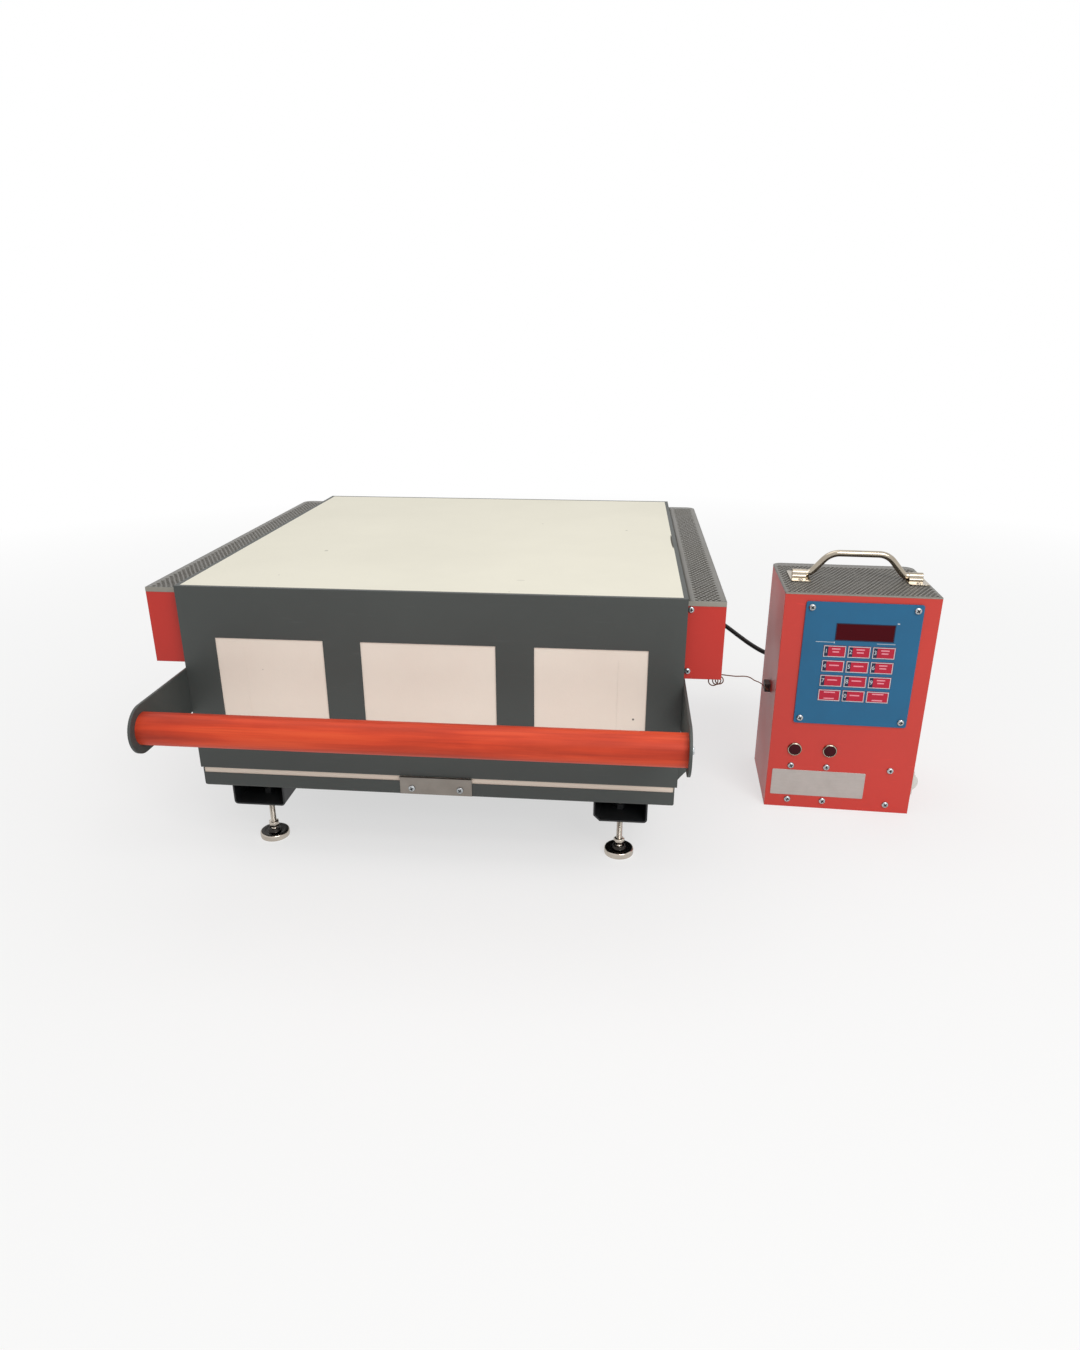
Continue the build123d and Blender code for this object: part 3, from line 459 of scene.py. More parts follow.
@dataclass(frozen=True)
class Wood(Finish):
    """Lacquered wood, its grain along the bar.

    Args:
        dark: the colour of its dark streaks.
        light: the colour of its light streaks.
    """

    dark: Colour = srgb(152, 38, 18)
    light: Colour = srgb(228, 88, 46)

    def dress(self, net: Net) -> dict[str, object]:
        """Long streaks, pores and a worn lacquer."""
        broad = net.noise(net.place((5.0, 70.0, 70.0)), 1.0, 3.0, Distortion=0.3)
        pores = net.noise(net.place((9.0, 420.0, 420.0)), 1.0, 5.0)
        cloud = EFFECTS.place(net, Effect.MOTTLE, Scale=9.0, Grit_Scale=300.0)["Tone"]
        base = self.layered(net, net.mix(net.ramp(broad, 0.42, 0.72), self.colour, self.dark),
                            (net.math("MULTIPLY", net.ramp(broad, 0.46, 0.3), 0.6), self.light),
                            (net.math("MULTIPLY", net.ramp(pores, 0.5, 0.75), 0.4), self.dark),
                            (net.math("MULTIPLY", cloud, 0.25), self.light))
        relief = net.math("ADD", pores, net.math("MULTIPLY", broad, 0.5))
        return {"Base Color": base, "Roughness": self.summed(net, self.roughness - 0.08, (pores, 0.2)),
                "Coat Weight": 0.08, "Coat Roughness": 0.35, "Specular IOR Level": 0.3,
                "Normal": self.bump(net, relief, 0.00025, 0.5)}


@dataclass(frozen=True)
class Plastic(Finish):
    """Moulded or printed plastic, and rubber.

    Args:
        grain: the depth of its surface grain, in metres.
        coat: the weight of its gloss.
        variety: how far its tone wanders.
        gleam: the level of its plain reflection.
    """

    grain: float = 0.00003
    coat: float = 0.0
    variety: float = 0.06
    gleam: float = 0.4

    def dress(self, net: Net) -> dict[str, object]:
        """Tone, fine grain, soft edges and a little dust."""
        tone = EFFECTS.place(net, Effect.MOTTLE, Scale=22.0, Grit_Scale=1800.0)
        edges = EFFECTS.place(net, Effect.EDGES, Radius=0.0004, Amount=0.25)
        dust = EFFECTS.place(net, Effect.DUST, Amount=0.1)["Mask"]
        base = self.layered(net, self.tinted(net, tone["Tone"], self.variety),
                            (edges["Mask"], scaled(self.colour, 1.6)), (dust, srgb(150, 146, 138)))
        return {"Base Color": base, "Coat Weight": self.coat, "Coat Roughness": 0.12,
                "Roughness": self.summed(net, self.roughness - 0.05, (tone["Tone"], 0.1)),
                "Normal": self.bump(net, tone["Grit"], self.grain, 0.5, edges["Normal"]),
                "Specular IOR Level": self.gleam}


@dataclass(frozen=True)
class Braid(Finish):
    """Braided sleeve of a thin lead."""

    def dress(self, net: Net) -> dict[str, object]:
        """Two crossed sets of threads."""
        place = net.place()
        first = net.put("TexWave", {"Vector": place, "Scale": 700.0, "Distortion": 1.0},
                        bands_direction="DIAGONAL").outputs["Fac"]
        threads = net.math("MULTIPLY", first, net.noise(place, 900.0))
        return {"Base Color": net.mix(threads, scaled(self.colour, 0.6), scaled(self.colour, 1.5)),
                "Roughness": self.roughness, "Normal": self.bump(net, threads, 0.0001, 0.6)}


GREY = Paint("grey powder coat", srgb(64, 68, 66), 0.55, "grey_paint", srgb(104, 106, 103), 0.3)
# Painted shade: the rails are coloured near-black for the shade under the base and inside their channels;
# their worn edges and dust are real.
RAIL_SHADE_PAINT = Paint("rail paint with painted shade", srgb(28, 30, 32), 0.5, "dark_paint", srgb(80, 82, 82), 0.25, dust=0.03)
LID_RED = Paint("red powder coat", srgb(192, 42, 30), 0.5, "red_paint", srgb(206, 84, 66), variety=0.04,
                dust=0.03)
BOX_RED = Paint("light red powder coat", srgb(202, 54, 43), 0.42, "red_paint", srgb(216, 98, 80),
                variety=0.04, coat=0.08, dust=0.04)
# Painted highlight: the covers' turned-down front edges are the mesh's grey paint made paler, for the light
# along the fold; their wear and dust are real.
COVER_EDGE_HIGHLIGHT = Paint("cover edge with painted highlight", srgb(146, 142, 132), 0.45, "mesh_paint", srgb(196, 192, 182), 0.6, dust=0.12)
MESH = Paint("grey mesh coat", srgb(98, 95, 88), 0.4, "mesh_paint", srgb(160, 156, 146), 0.7)
BOARD = Board("wall board", srgb(243, 232, 219), 0.9, "fibre_board", warm=srgb(234, 219, 206), marks=(
    ((247.5, 1.2, 213.7), (1.5, 4.0, 1.5), 0.85), ((-207.0, 1.2, 262.0), (1.0, 4.0, 0.9), 0.25)))
# The roof's top colour is painted light, for how light falls on its top.
ROOF = Board("roof board", srgb(243, 232, 219), 0.9, "fibre_board", warm=srgb(234, 219, 206),
             top=srgb(233, 229, 213), marks=(
    ((-179.7, 192.9, 366), (2.9, 3.4, 9.0), 0.32), ((-197.5, 60.6, 366), (1.4, 1.6, 9.0), 0.25),
    # Painted shade: this long dark mark at the right edge of the top stands in for the shade in a notch
    # there.
    ((105.6, 63.5, 366), (6.0, 2.6, 9.0), 0.14), ((298.9, 294.0, 366), (2.0, 46.0, 12.0), 0.92)))
HEARTH = Board("hearth board", srgb(228, 216, 202), 0.9, "fibre_board", specks=0.2)
CERAMIC = Board("unglazed ceramic", srgb(225, 215, 198), 0.8, "probe_sheath", specks=0.1)
ZINC = Metal("galvanised sheet", srgb(150, 143, 136), 0.34, "galvanised", 0.3, (40.0, 40.0, 40.0))
PLATE = Metal("brushed plate", srgb(198, 190, 185), 0.5, "galvanised", 0.5, (4.0, 300.0, 300.0), patch=0.15)
NICKEL = Metal("nickel plate", srgb(205, 196, 184), 0.2, "nickel", 0.1)
# Painted reflection: the pad's top and socket are the same nickel, coloured dark for the kiln's dark
# underside that they reflect.
NICKEL_DARK_REFLECTION = Metal("nickel with painted dark reflection", srgb(58, 55, 52), 0.22, "nickel", 0.1, tarnish=srgb(34, 32, 30))
SCREW = Metal("zinc screw", srgb(196, 200, 202), 0.24, "zinc_screw", 0.05, tarnish=srgb(96, 98, 100))
RECESS = Metal("shaded recess", srgb(54, 54, 56), 0.6, "zinc_screw", 0.0, tarnish=srgb(34, 34, 36))
STEEL = Metal("plain steel", srgb(130, 128, 124), 0.45, "hinge_steel", 0.3)
ELEMENT = Metal("element wire", srgb(96, 84, 74), 0.6, "element_wire", 0.4)
CHROME = Metal("polished chrome", srgb(186, 176, 160), 0.14, "bright_chrome", 0.05,
               tarnish=srgb(104, 92, 78))
LACQUER = Wood("lacquered bar", srgb(206, 62, 30), 0.55, "handle_wood")
BLUE = Plastic("blue overlay", srgb(26, 98, 138), 0.5, "faceplate_blue", 0.00002)
NAVY_INK = Plastic("navy ink", srgb(20, 32, 62), 0.5, "faceplate_blue", 0.00001)
DISPLAY = Plastic("dark red window", srgb(72, 6, 16), 0.35, "display_lens", gleam=0.08)
CRIMSON = Plastic("crimson key", srgb(184, 20, 52), 0.5, "key_crimson")
WHITE_INK = Plastic("white ink", srgb(198, 206, 212), 0.5, "key_crimson", 0.00001)
PINK_INK = Plastic("pink ink", srgb(238, 150, 164), 0.5, "key_crimson", 0.00001)
LENS = Plastic("lamp lens", srgb(62, 5, 18), 0.25, "lamp_lens", coat=0.1, gleam=0.1)
GREEN = Plastic("circuit board", srgb(40, 96, 66), 0.5, "circuit_board")
BLACK = Plastic("black moulding", srgb(32, 32, 34), 0.5, "relay_plastic", 0.00008)
PALE = Plastic("pale moulding", srgb(214, 214, 208), 0.3, "switch_plastic", coat=0.3)
RUBBER = Plastic("black rubber", srgb(22, 22, 23), 0.6, "black_rubber", 0.00006)
BROWN = Plastic("brown moulding", srgb(48, 28, 20), 0.5, "plug_plastic", 0.00006)
SLEEVE = Braid("braided sleeve", srgb(108, 60, 36), 0.8, "lead_sleeve")


def bands(count: int) -> list[tuple[int, int, int, int]]:
    """The corner numbers of the faces between two rings that have as many corners."""
    return [(i, (i + 1) % count, count + (i + 1) % count, count + i) for i in range(count)]


class Shape:
    """A mesh in the making, in the millimetres of its place.

    Args:
        place: where the millimetres are measured from.
    """

    def __init__(self, place: Place) -> None:
        """Starts with an empty mesh."""
        self.place = place
        self.bm = bmesh.new()

    def faces(self, corners: Sequence[Sequence[float]], loops: Sequence[Sequence[int]],
              paint: int = 0) -> None:
        """Adds corners and the faces between them.

        Args:
            corners: the corner points.
            loops: each face's corner numbers.
            paint: the finish's number.
        """
        verts = [self.bm.verts.new(corner) for corner in corners]
        for loop in loops:
            self.bm.faces.new([verts[i] for i in loop]).material_index = paint

    def grid(self, xs: Sequence[float], ys: Sequence[float], z: float) -> None:
        """A flat sheet divided at the given places."""
        for a, b in zip(xs, xs[1:]):
            for c, d in zip(ys, ys[1:]):
                self.faces([(a, c, z), (b, c, z), (b, d, z), (a, d, z)], [(0, 1, 2, 3)])

    def loft(self, lower: Sequence[Sequence[float]], upper: Sequence[Sequence[float]],
             paint: int = 0) -> None:
        """A solid between two flat outlines that have as many corners."""
        count = len(lower)
        ends = [tuple(reversed(range(count))), tuple(range(count, 2 * count))]
        self.faces([*lower, *upper], [*ends, *bands(count)], paint)

    def prism(self, outline: Sequence[Sequence[float]], push: Sequence[float], paint: int = 0) -> None:
        """A prism from a flat outline and the vector that it is pushed along."""
        self.loft([Vector(p) for p in outline], [Vector(p) + Vector(push) for p in outline], paint)

    def slab(self, low: Point, high: Point, paint: int = 0) -> None:
        """An upright block between two corners."""
        (x0, y0, z0), (x1, y1, z1) = low, high
        self.prism([(x0, y0, z0), (x1, y0, z0), (x1, y1, z0), (x0, y1, z0)], (0, 0, z1 - z0), paint)

    def ring(self, centre: Vector, way: Vector, aside: Vector, radii: Sequence[float],
             twist: float = 0.0) -> Ring:
        """A closed ring of vertices, or one vertex where its radius is nothing.

        Args:
            centre: its middle.
            way: its axis.
            aside: the direction of its first vertex.
            radii: the radius at each vertex.
            twist: the first vertex's angle, in degrees.

        Returns:
            The vertices.
        """
        if max(radii) <= 1e-6:
            return [self.bm.verts.new(centre)]
        other = way.cross(aside)
        angles = [math.radians(twist) + math.tau * i / len(radii) for i in range(len(radii))]
        return [self.bm.verts.new(centre + (aside * math.cos(a) + other * math.sin(a)) * radius)
                for a, radius in zip(angles, radii)]

    def skin(self, rings: Sequence[Ring], paint: int = 0, capped: bool = False) -> None:
        """Joins rings into a surface.

        Args:
            rings: the rings, from end to end.
            paint: the finish's number.
            capped: whether its ends are closed by flat faces.
        """
        loops = []
        for lower, upper in zip(rings, rings[1:]):
            steps = max(len(lower), len(upper))
            for i in range(steps):
                j = (i + 1) % steps
                around = [lower[i % len(lower)], lower[j % len(lower)], upper[j % len(upper)],
                          upper[i % len(upper)]]
                loops.append(list(dict.fromkeys(around)))
        if capped:
            loops += [rings[0][::-1], rings[-1]]
        for loop in loops:
            if len(loop) > 2:
                self.bm.faces.new(loop).material_index = paint

    def lathe(self, base: Point, axis: Point, profile: Sequence[tuple[float, float]], steps: int = 24,
              paint: int = 0, twist: float = 0.0) -> None:
        """A turned form.

        Args:
            base: the axis's start.
            axis: the axis's direction.
            profile: radius and height pairs, from end to end.
            steps: how many sides it has.
            paint: the finish's number.
            twist: the first side's angle, in degrees.
        """
        up = Vector(axis).normalized()
        aside = up.orthogonal().normalized()
        self.skin([self.ring(Vector(base) + up * height, up, aside, [radius] * steps, twist)
                   for radius, height in profile], paint)

    def tube(self, points: Sequence[Sequence[float]], radius: float, steps: int) -> None:
        """A round tube that follows points, closed at its ends."""
        path = [Vector(p) for p in points]
        aside = (path[1] - path[0]).orthogonal().normalized()
        rings = []
        for before, point, after in zip([path[0], *path], path, [*path[1:], path[-1]]):
            way = (after - before).normalized()
            aside = (aside - way * aside.dot(way)).normalized()
            rings.append(self.ring(point, way, aside, [radius] * steps))
        self.skin(rings, capped=True)

    def stamp(self, mesh: bpy.types.Mesh, matrix: Matrix) -> None:
        """Adds a copy of a mesh, moved by a matrix."""
        start = len(self.bm.verts)
        self.bm.from_mesh(mesh)
        self.bm.verts.ensure_lookup_table()
        bmesh.ops.transform(self.bm, matrix=matrix, verts=self.bm.verts[start:])

    def words(self, text: str, centre: Point, size: float, depth: float) -> None:
        """Raised characters on a face that looks forward, such as a key's number.

        Args:
            text: the characters.
            centre: the middle of the text, on the face.
            size: its height.
            depth: how far it stands out.
        """
        curve = bpy.data.curves.new("words", "FONT")
        curve.body = text
        curve.size = size
        curve.extrude = depth / 2
        curve.resolution_u = 3
        curve.align_x = curve.align_y = "CENTER"
        holder = bpy.data.objects.new("words", curve)
        mesh = bpy.data.meshes.new_from_object(holder)
        spot = Matrix.Translation(Vector(centre) - Vector((0, depth / 2, 0)))
        self.stamp(mesh, spot @ Matrix.Rotation(math.pi / 2, 4, "X"))
        bpy.data.objects.remove(holder)
        bpy.data.curves.remove(curve)
        bpy.data.meshes.remove(mesh)

    def mesh(self, name: str, matrix: Matrix) -> bpy.types.Mesh:
        """The finished mesh, its faces turned outward and moved by a matrix; the shape is used up."""
        bmesh.ops.recalc_face_normals(self.bm, faces=self.bm.faces)
        bmesh.ops.transform(self.bm, matrix=matrix, verts=self.bm.verts)
        mesh = bpy.data.meshes.new(name)
        self.bm.to_mesh(mesh)
        self.bm.free()
        return mesh

    def piece(self, name: str, body: str, finishes: Sequence[Finish], replaces: Sequence[str] = (),
              bevel: float = 0.0, smooth: float = 35.0) -> bpy.types.Object:
        """Turns the mesh into a piece that rides on a body.

        Args:
            name: the piece's name.
            body: the body that it rides on.
            finishes: its finishes, in the order of their numbers.
            replaces: the nodes that it stands for.
            bevel: the width of its edges' bevel, in millimetres.
            smooth: the largest angle that is shaded smooth, in degrees.

        Returns:
            The object.
        """
        bmesh.ops.remove_doubles(self.bm, verts=self.bm.verts, dist=0.0005)
        mesh = self.mesh(name, self.place.matrix())
        for finish in finishes:
            mesh.materials.append(finish.make())
        obj = bpy.data.objects.new(name, mesh)
        bpy.context.scene.collection.objects.link(obj)
        if bevel:
            edge = obj.modifiers.new("edge", "BEVEL")
            edge.width = bevel * MM
            edge.segments = 2
            edge.limit_method = "ANGLE"
            edge.angle_limit = math.radians(40)
        mesh.shade_smooth()
        mesh.set_sharp_from_angle(angle=math.radians(smooth))
        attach(obj, body)
        if replaces:
            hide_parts(*replaces)
        LOG.info("piece %s rides on %s with %d faces", name, body, len(mesh.polygons))
        return obj


def dress(finish: Finish, *nodes: str) -> None:
    """Gives nodes of the frame their finish.

    Args:
        finish: the finish.
        nodes: the nodes' names.
    """
    material = finish.make()
    for name in nodes:
        node = bpy.data.objects[name]
        if not node.material_slots:
            node.data.materials.append(material)
        for slot in node.material_slots:
            slot.material = material


def thicken(obj: bpy.types.Object, thickness: float) -> None:
    """Gives a sheet its thickness below its face, in millimetres."""
    solid = obj.modifiers.new("sheet", "SOLIDIFY")
    solid.thickness = thickness * MM
    solid.offset = -1.0


def rounded(corners: Sequence[Vector], radii: Sequence[float], steps: int = 8) -> list[Vector]:
    """A path whose inner corners are rounded.

    Args:
        corners: the path's corners, ends included.
        radii: the bend's radius at each inner corner.
        steps: how many parts each bend has.

    Returns:
        The path's points.
    """
    path = [corners[0]]
    for before, corner, after, radius in zip(corners, corners[1:], corners[2:], radii):
        inward, outward = (before - corner).normalized(), (after - corner).normalized()
        half = inward.angle(outward) / 2
        middle = corner + (inward + outward).normalized() * (radius / math.sin(half))
        start = corner + inward * (radius / math.tan(half)) - middle
        end = corner + outward * (radius / math.tan(half)) - middle
        bend = start.rotation_difference(end)
        path += [middle + Quaternion().slerp(bend, k / steps) @ start for k in range(steps + 1)]
    return path + [corners[-1]]


def round_rectangle(area: Area, radius: float) -> list[tuple[float, float]]:
    """The outline of a rectangle, given by its left, bottom, right and top, with rounded corners."""
    left, bottom, right, top = area
    corners = ((right - radius, top - radius), (left + radius, top - radius),
               (left + radius, bottom + radius), (right - radius, bottom + radius))
    return [(x + radius * math.cos(angle), y + radius * math.sin(angle))
            for quarter, (x, y) in enumerate(corners)
            for angle in (math.radians(90 * quarter + 22.5 * k) for k in range(5))]


@dataclass
class Studio:
    """Camera, floor and plain soft light.

    Args:
        eye: the camera's place, in the kiln's millimetres.
        yaw: its turn to the left, in degrees.
        pitch: how far it looks down, in degrees.
        lens: its focal length for a sensor of 36 mm.
        reach: half the floor's side, in metres.
        lamps: each lamp's name, place, aim and side in metres, and its power in watts.
    """

    eye: Point = (227.5, -986.2, 653.0)
    yaw: float = 5.35
    pitch: float = 21.26
    lens: float = 23.78
    reach: float = 14.0
    lamps: tuple[tuple[str, Point, Point, float, float], ...] = (
        ("key", (1.3, -2.4, 2.6), (0.0, 0.0, 0.2), 1.8, 62.0),
        ("top", (-0.3, 0.4, 3.0), (-0.1, 0.0, 0.2), 2.2, 20.0))

    def camera(self) -> None:
        """Sets up the camera."""
        data = bpy.data.cameras.new("camera")
        data.lens = self.lens
        data.sensor_width = 36.0
        data.clip_start = 0.01
        obj = bpy.data.objects.new("camera", data)
        obj.location = KILN.at(*self.eye)
        obj.rotation_euler = (math.radians(90 - self.pitch), 0.0, math.radians(self.yaw))
        bpy.context.scene.collection.objects.link(obj)
        bpy.context.scene.camera = obj

    def floor(self) -> None:
        """Pale floor that fades into the background."""
        mesh = bpy.data.meshes.new("floor")
        r = self.reach
        mesh.from_pydata([(-r, -r, 0), (r, -r, 0), (r, r, 0), (-r, r, 0)], [], [(0, 1, 2, 3)])
        material = bpy.data.materials.new("pale floor")
        material.use_nodes = True
        net = Net(material.node_tree)
        away = net.vector("LENGTH", net.place())["Value"]
        share = net.math("ADD", 0.62, net.math("MULTIPLY", net.ramp(away, 0.7, 2.6), 0.38), True)
        cover = net.put("BsdfDiffuse", {"Color": (0.84, 0.84, 0.83, 1.0)})
        glow = net.put("Emission", {"Color": (1.0, 1.0, 1.0, 1.0), "Strength": 1.0})
        both = net.put("MixShader", {0: net.math("MULTIPLY", net.seen(), share), 1: cover.outputs[0],
                                     2: glow.outputs[0]})
        net.put("OutputMaterial", {"Surface": both.outputs[0]})
        mesh.materials.append(material)
        obj = bpy.data.objects.new("floor", mesh)
        bpy.context.scene.collection.objects.link(obj)

    def light(self) -> None:
        """World and square lamps, at a level where colours render about as written."""
        world = bpy.data.worlds.new("studio")
        bpy.context.scene.world = world
        world.use_nodes = True
        net = Net(world.node_tree)
        fill, back = (net.put("Background", {"Color": (1.0, 1.0, 1.0, 1.0), "Strength": strength})
                      for strength in (0.5, 1.0))
        both = net.put("MixShader", {0: net.seen(), 1: fill.outputs[0], 2: back.outputs[0]})
        net.put("OutputWorld", {"Surface": both.outputs[0]})
        for name, spot, aim, side, power in self.lamps:
            data = bpy.data.lights.new(name, "AREA")
            data.size = side
            data.energy = power
            obj = bpy.data.objects.new(name, data)
            obj.location = spot
            obj.rotation_euler = (Vector(aim) - Vector(spot)).to_track_quat("-Z", "Y").to_euler()
            bpy.context.scene.collection.objects.link(obj)

    def build(self) -> None:
        """Sets up the floor, the light and the view settings."""
        self.floor()
        self.light()
        bpy.context.scene.view_settings.view_transform = "Standard"


@dataclass
class Cords:
    """Load cord and thermocouple lead, with the lead's looped start.

    Args:
        load: the load cord's points, in the kiln's millimetres.
        lead_start: the lead's points before its loops.
        lead_end: the lead's points after its loops.
        load_width: the load cord's diameter.
        lead_width: the lead's diameter.
        turns: how many loops the lead has.
        coil: the first loop's middle, the last loop's middle and their radius.
        reliefs: each strain relief's name, body, place, seat, direction and replaced node.
    """

    load: tuple[Point, ...] = (
        (330, 560, 243), (330, 560, 225), (337, 559, 208), (350.5, 556.5, 194.5), (368, 551, 185),
        (390, 541, 176.5), (414, 525, 166), (435, 504, 155), (455, 481, 146.5), (476, 458.5, 141),
        (499, 445, 139.6), (522.5, 432.9, 140.8), (541.2, 423.4, 143), (553.9, 409.3, 146.8),
        (560.415, 391.42, 150), (559.724, 373.433, 150))
    lead_start: tuple[Point, ...] = ((324, 42, 262.6), (326.5, 42, 259.0), (332, 43, 256.8))
    lead_end: tuple[Point, ...] = (
        (361, 52, 255.2), (366, 51, 255.2), (372, 50, 255), (385, 60, 252), (395, 82, 241.5),
        (404, 112, 226.5), (414, 150, 210.5), (425.5, 186, 194), (435.5, 212, 179), (441.8, 226.5, 168.5),
        (445.407, 237.12, 163), (445.753, 246.114, 163))
    load_width: float = 7.5
    lead_width: float = 1.4
    turns: int = 3
    coil: tuple[Point, Point, float] = ((342.5, 46, 250.0), (354.5, 53, 249.0), 6.2)
    reliefs: tuple[tuple[str, str, Place, Point, Point, str], ...] = (
        ("lid_strain_relief", "lid", KILN, (330, 560, 263), (0, 0, -1), "lid_gland"),
        ("controller_strain_relief", "base", CONTROLLER, (105, 165, 150), BACK, "controller_gland"))

    def curve(self, name: str, points: Sequence[Point], width: float, finish: Finish) -> bpy.types.Object:
        """A cord's smooth line with its round section.

        Args:
            name: the piece's name.
            points: the line's control points, in the kiln's millimetres.
            width: the cord's diameter in millimetres.
            finish: its finish.

        Returns:
            The curve object.
        """
        data = bpy.data.curves.new(name, "CURVE")
        data.dimensions = "3D"
        data.bevel_depth = width / 2 * MM
        data.bevel_resolution = 4
        data.resolution_u = 8
        data.use_fill_caps = True
        line = data.splines.new("NURBS")
        line.points.add(len(points) - 1)
        for target, point in zip(line.points, points):
            target.co = (*KILN.at(*point), 1.0)
        line.order_u = 3
        line.use_endpoint_u = True
        data.materials.append(finish.make())
        obj = bpy.data.objects.new(name, data)
        bpy.context.scene.collection.objects.link(obj)
        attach(obj, "base")
        LOG.info("cord %s has %d points", name, len(points))
        return obj

    def loops(self) -> list[Point]:
        """The lead's loops, side by side under the terminal box."""
        (x0, y0, z0), (x1, y1, z1), radius = self.coil
        count = 14 * self.turns
        points: list[Point] = []
        for i in range(count + 1):
            share = i / count
            angle = math.radians(90) - math.tau * self.turns * share
            reach = radius * (1.0 + 0.12 * math.sin(2.3 * self.turns * share))
            points.append((x0 + (x1 - x0) * share + reach * math.cos(angle), y0 + (y1 - y0) * share,
                           z0 + (z1 - z0) * share + reach * math.sin(angle)))
        return points

    def strain_reliefs(self) -> None:
        """Ribbed reliefs, each narrower towards its end."""
        ribs = [(radius - rib * 0.3, height + rib * 2.4) for rib in range(5)
                for radius, height in ((7.9, 6.6), (7.8, 7.8), (6.6, 8.0), (6.6, 8.8))]
        profile = [(0, 0), (10.9, 0), (10.9, 5.2), (10.1, 5.9), (8.2, 6.0), *ribs, (5.0, 19.8), (0, 20)]
        for name, body, place, seat, way, node in self.reliefs:
            shape = Shape(place)
            shape.lathe(seat, way, profile, 28)
            shape.piece(name, body, [BLACK], [node])

    def build(self) -> None:
        """Makes both cords and their strain reliefs, and hides the nodes that they stand for."""
        cord = self.curve("load_cord_jacket", self.load, self.load_width, RUBBER)
        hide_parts("load_cord")
        wire = [*self.lead_start, *self.loops(), *self.lead_end]
        lead = self.curve("thermocouple_wire", wire, self.lead_width, SLEEVE)
        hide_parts("thermocouple_lead", "thermocouple_coil")
        self.strain_reliefs()


@dataclass
class Fasteners:
    """Cross-recessed pan heads and hexagon bolt heads.

    Args:
        radius: a pan head's radius in millimetres.
        height: its height.
        mouth: half the recess's length and width, above the head.
        floor: half the recess's length and width, at its floor.
        depth: the recess's depth.
    """

    radius: float = 3.9
    height: float = 2.4
    mouth: tuple[float, float] = (2.5, 0.65)
    floor: tuple[float, float] = (1.1, 0.35)
    depth: float = 1.5
    _template: Optional[bpy.types.Mesh] = field(default=None, repr=False)

    def head(self) -> Shape:
        """A pan head without its recess, standing on the XY plane."""
        shape = Shape(KILN)
        r, h = self.radius, self.height
        shape.lathe((0, 0, 0), UP, [(0, 0), (r, 0), (r, 0.3 * h), (r * 0.93, 0.62 * h),
                                    (r * 0.72, 0.88 * h), (r * 0.4, 0.98 * h), (0, h)], 28)
        return shape

    def recess(self) -> Shape:
        """The two crossed wedges that cut a head's recess."""
        shape = Shape(KILN)
        for c, s in ((math.cos(turn), math.sin(turn)) for turn in (0.0, math.pi / 2)):
            lower, upper = ([(c * a - s * b, s * a + c * b, z)
                             for a, b in ((-length, -width), (length, -width), (length, width),
                                          (-length, width))]
                            for (length, width), z in ((self.floor, self.height - self.depth),
                                                       (self.mouth, self.height + 0.3)))
            shape.loft(lower, upper)
        return shape

    def template(self) -> bpy.types.Mesh:
        """A pan head with its cross recess, in millimetres, made the first time it is asked for."""
        if self._template is not None:
            return self._template
        objects = [bpy.data.objects.new("head", shape.mesh("head", Matrix()))
                   for shape in (self.head(), self.recess())]
        for obj in objects:
            bpy.context.scene.collection.objects.link(obj)
        cut = objects[0].modifiers.new("recess", "BOOLEAN")
        cut.object = objects[1]
        cut.operation = "DIFFERENCE"
        cut.solver = "EXACT"
        cut.use_self = True
        graph = bpy.context.evaluated_depsgraph_get()
        graph.update()
        self._template = bpy.data.meshes.new_from_object(objects[0].evaluated_get(graph))
        for face in self._template.polygons:
            reach, z, up = face.center.xy.length, face.center.z, face.normal.z
            wall = reach < 2.7 and 0.3 * self.height < z < 0.97 * self.height and up < 0.9
            floor = reach < 1.2 and z < 0.6 * self.height and up > 0.5
            face.material_index = int(wall or floor)
        for obj in objects:
            bpy.data.objects.remove(obj)
        return self._template

    def pan(self, shape: Shape, spot: Point, facing: Point, turn: float, size: float = 1.0) -> None:
        """Stamps one pan head.

        Args:
            shape: the mesh that it joins.
            spot: the middle of its seat.
            facing: the way it looks.
            turn: how far its recess is turned, in degrees.
            size: its size against the usual one.
        """
        way = Vector(facing).to_track_quat("Z", "Y").to_matrix().to_4x4()
        turned = Matrix.Rotation(math.radians(turn), 4, "Z")
        shape.stamp(self.template(), Matrix.Translation(spot) @ way @ turned @ Matrix.Scale(size, 4))

    @staticmethod
    def bolt(shape: Shape, spot: Point, facing: Point, radius: float, height: float, turn: float) -> None:
        """Adds one flanged hexagon head."""
        flange, rim, flat = height * 0.2, height * 0.3, radius * 0.78
        shape.lathe(spot, facing, [(0, 0), (radius, 0), (radius, flange), (radius * 0.8, rim), (0, rim)])
        shape.lathe(spot, facing, [(0, flange), (flat, flange), (flat, height * 0.86),
                                   (radius * 0.66, height), (0, height)], 6, 0, turn)


FASTENERS = Fasteners()


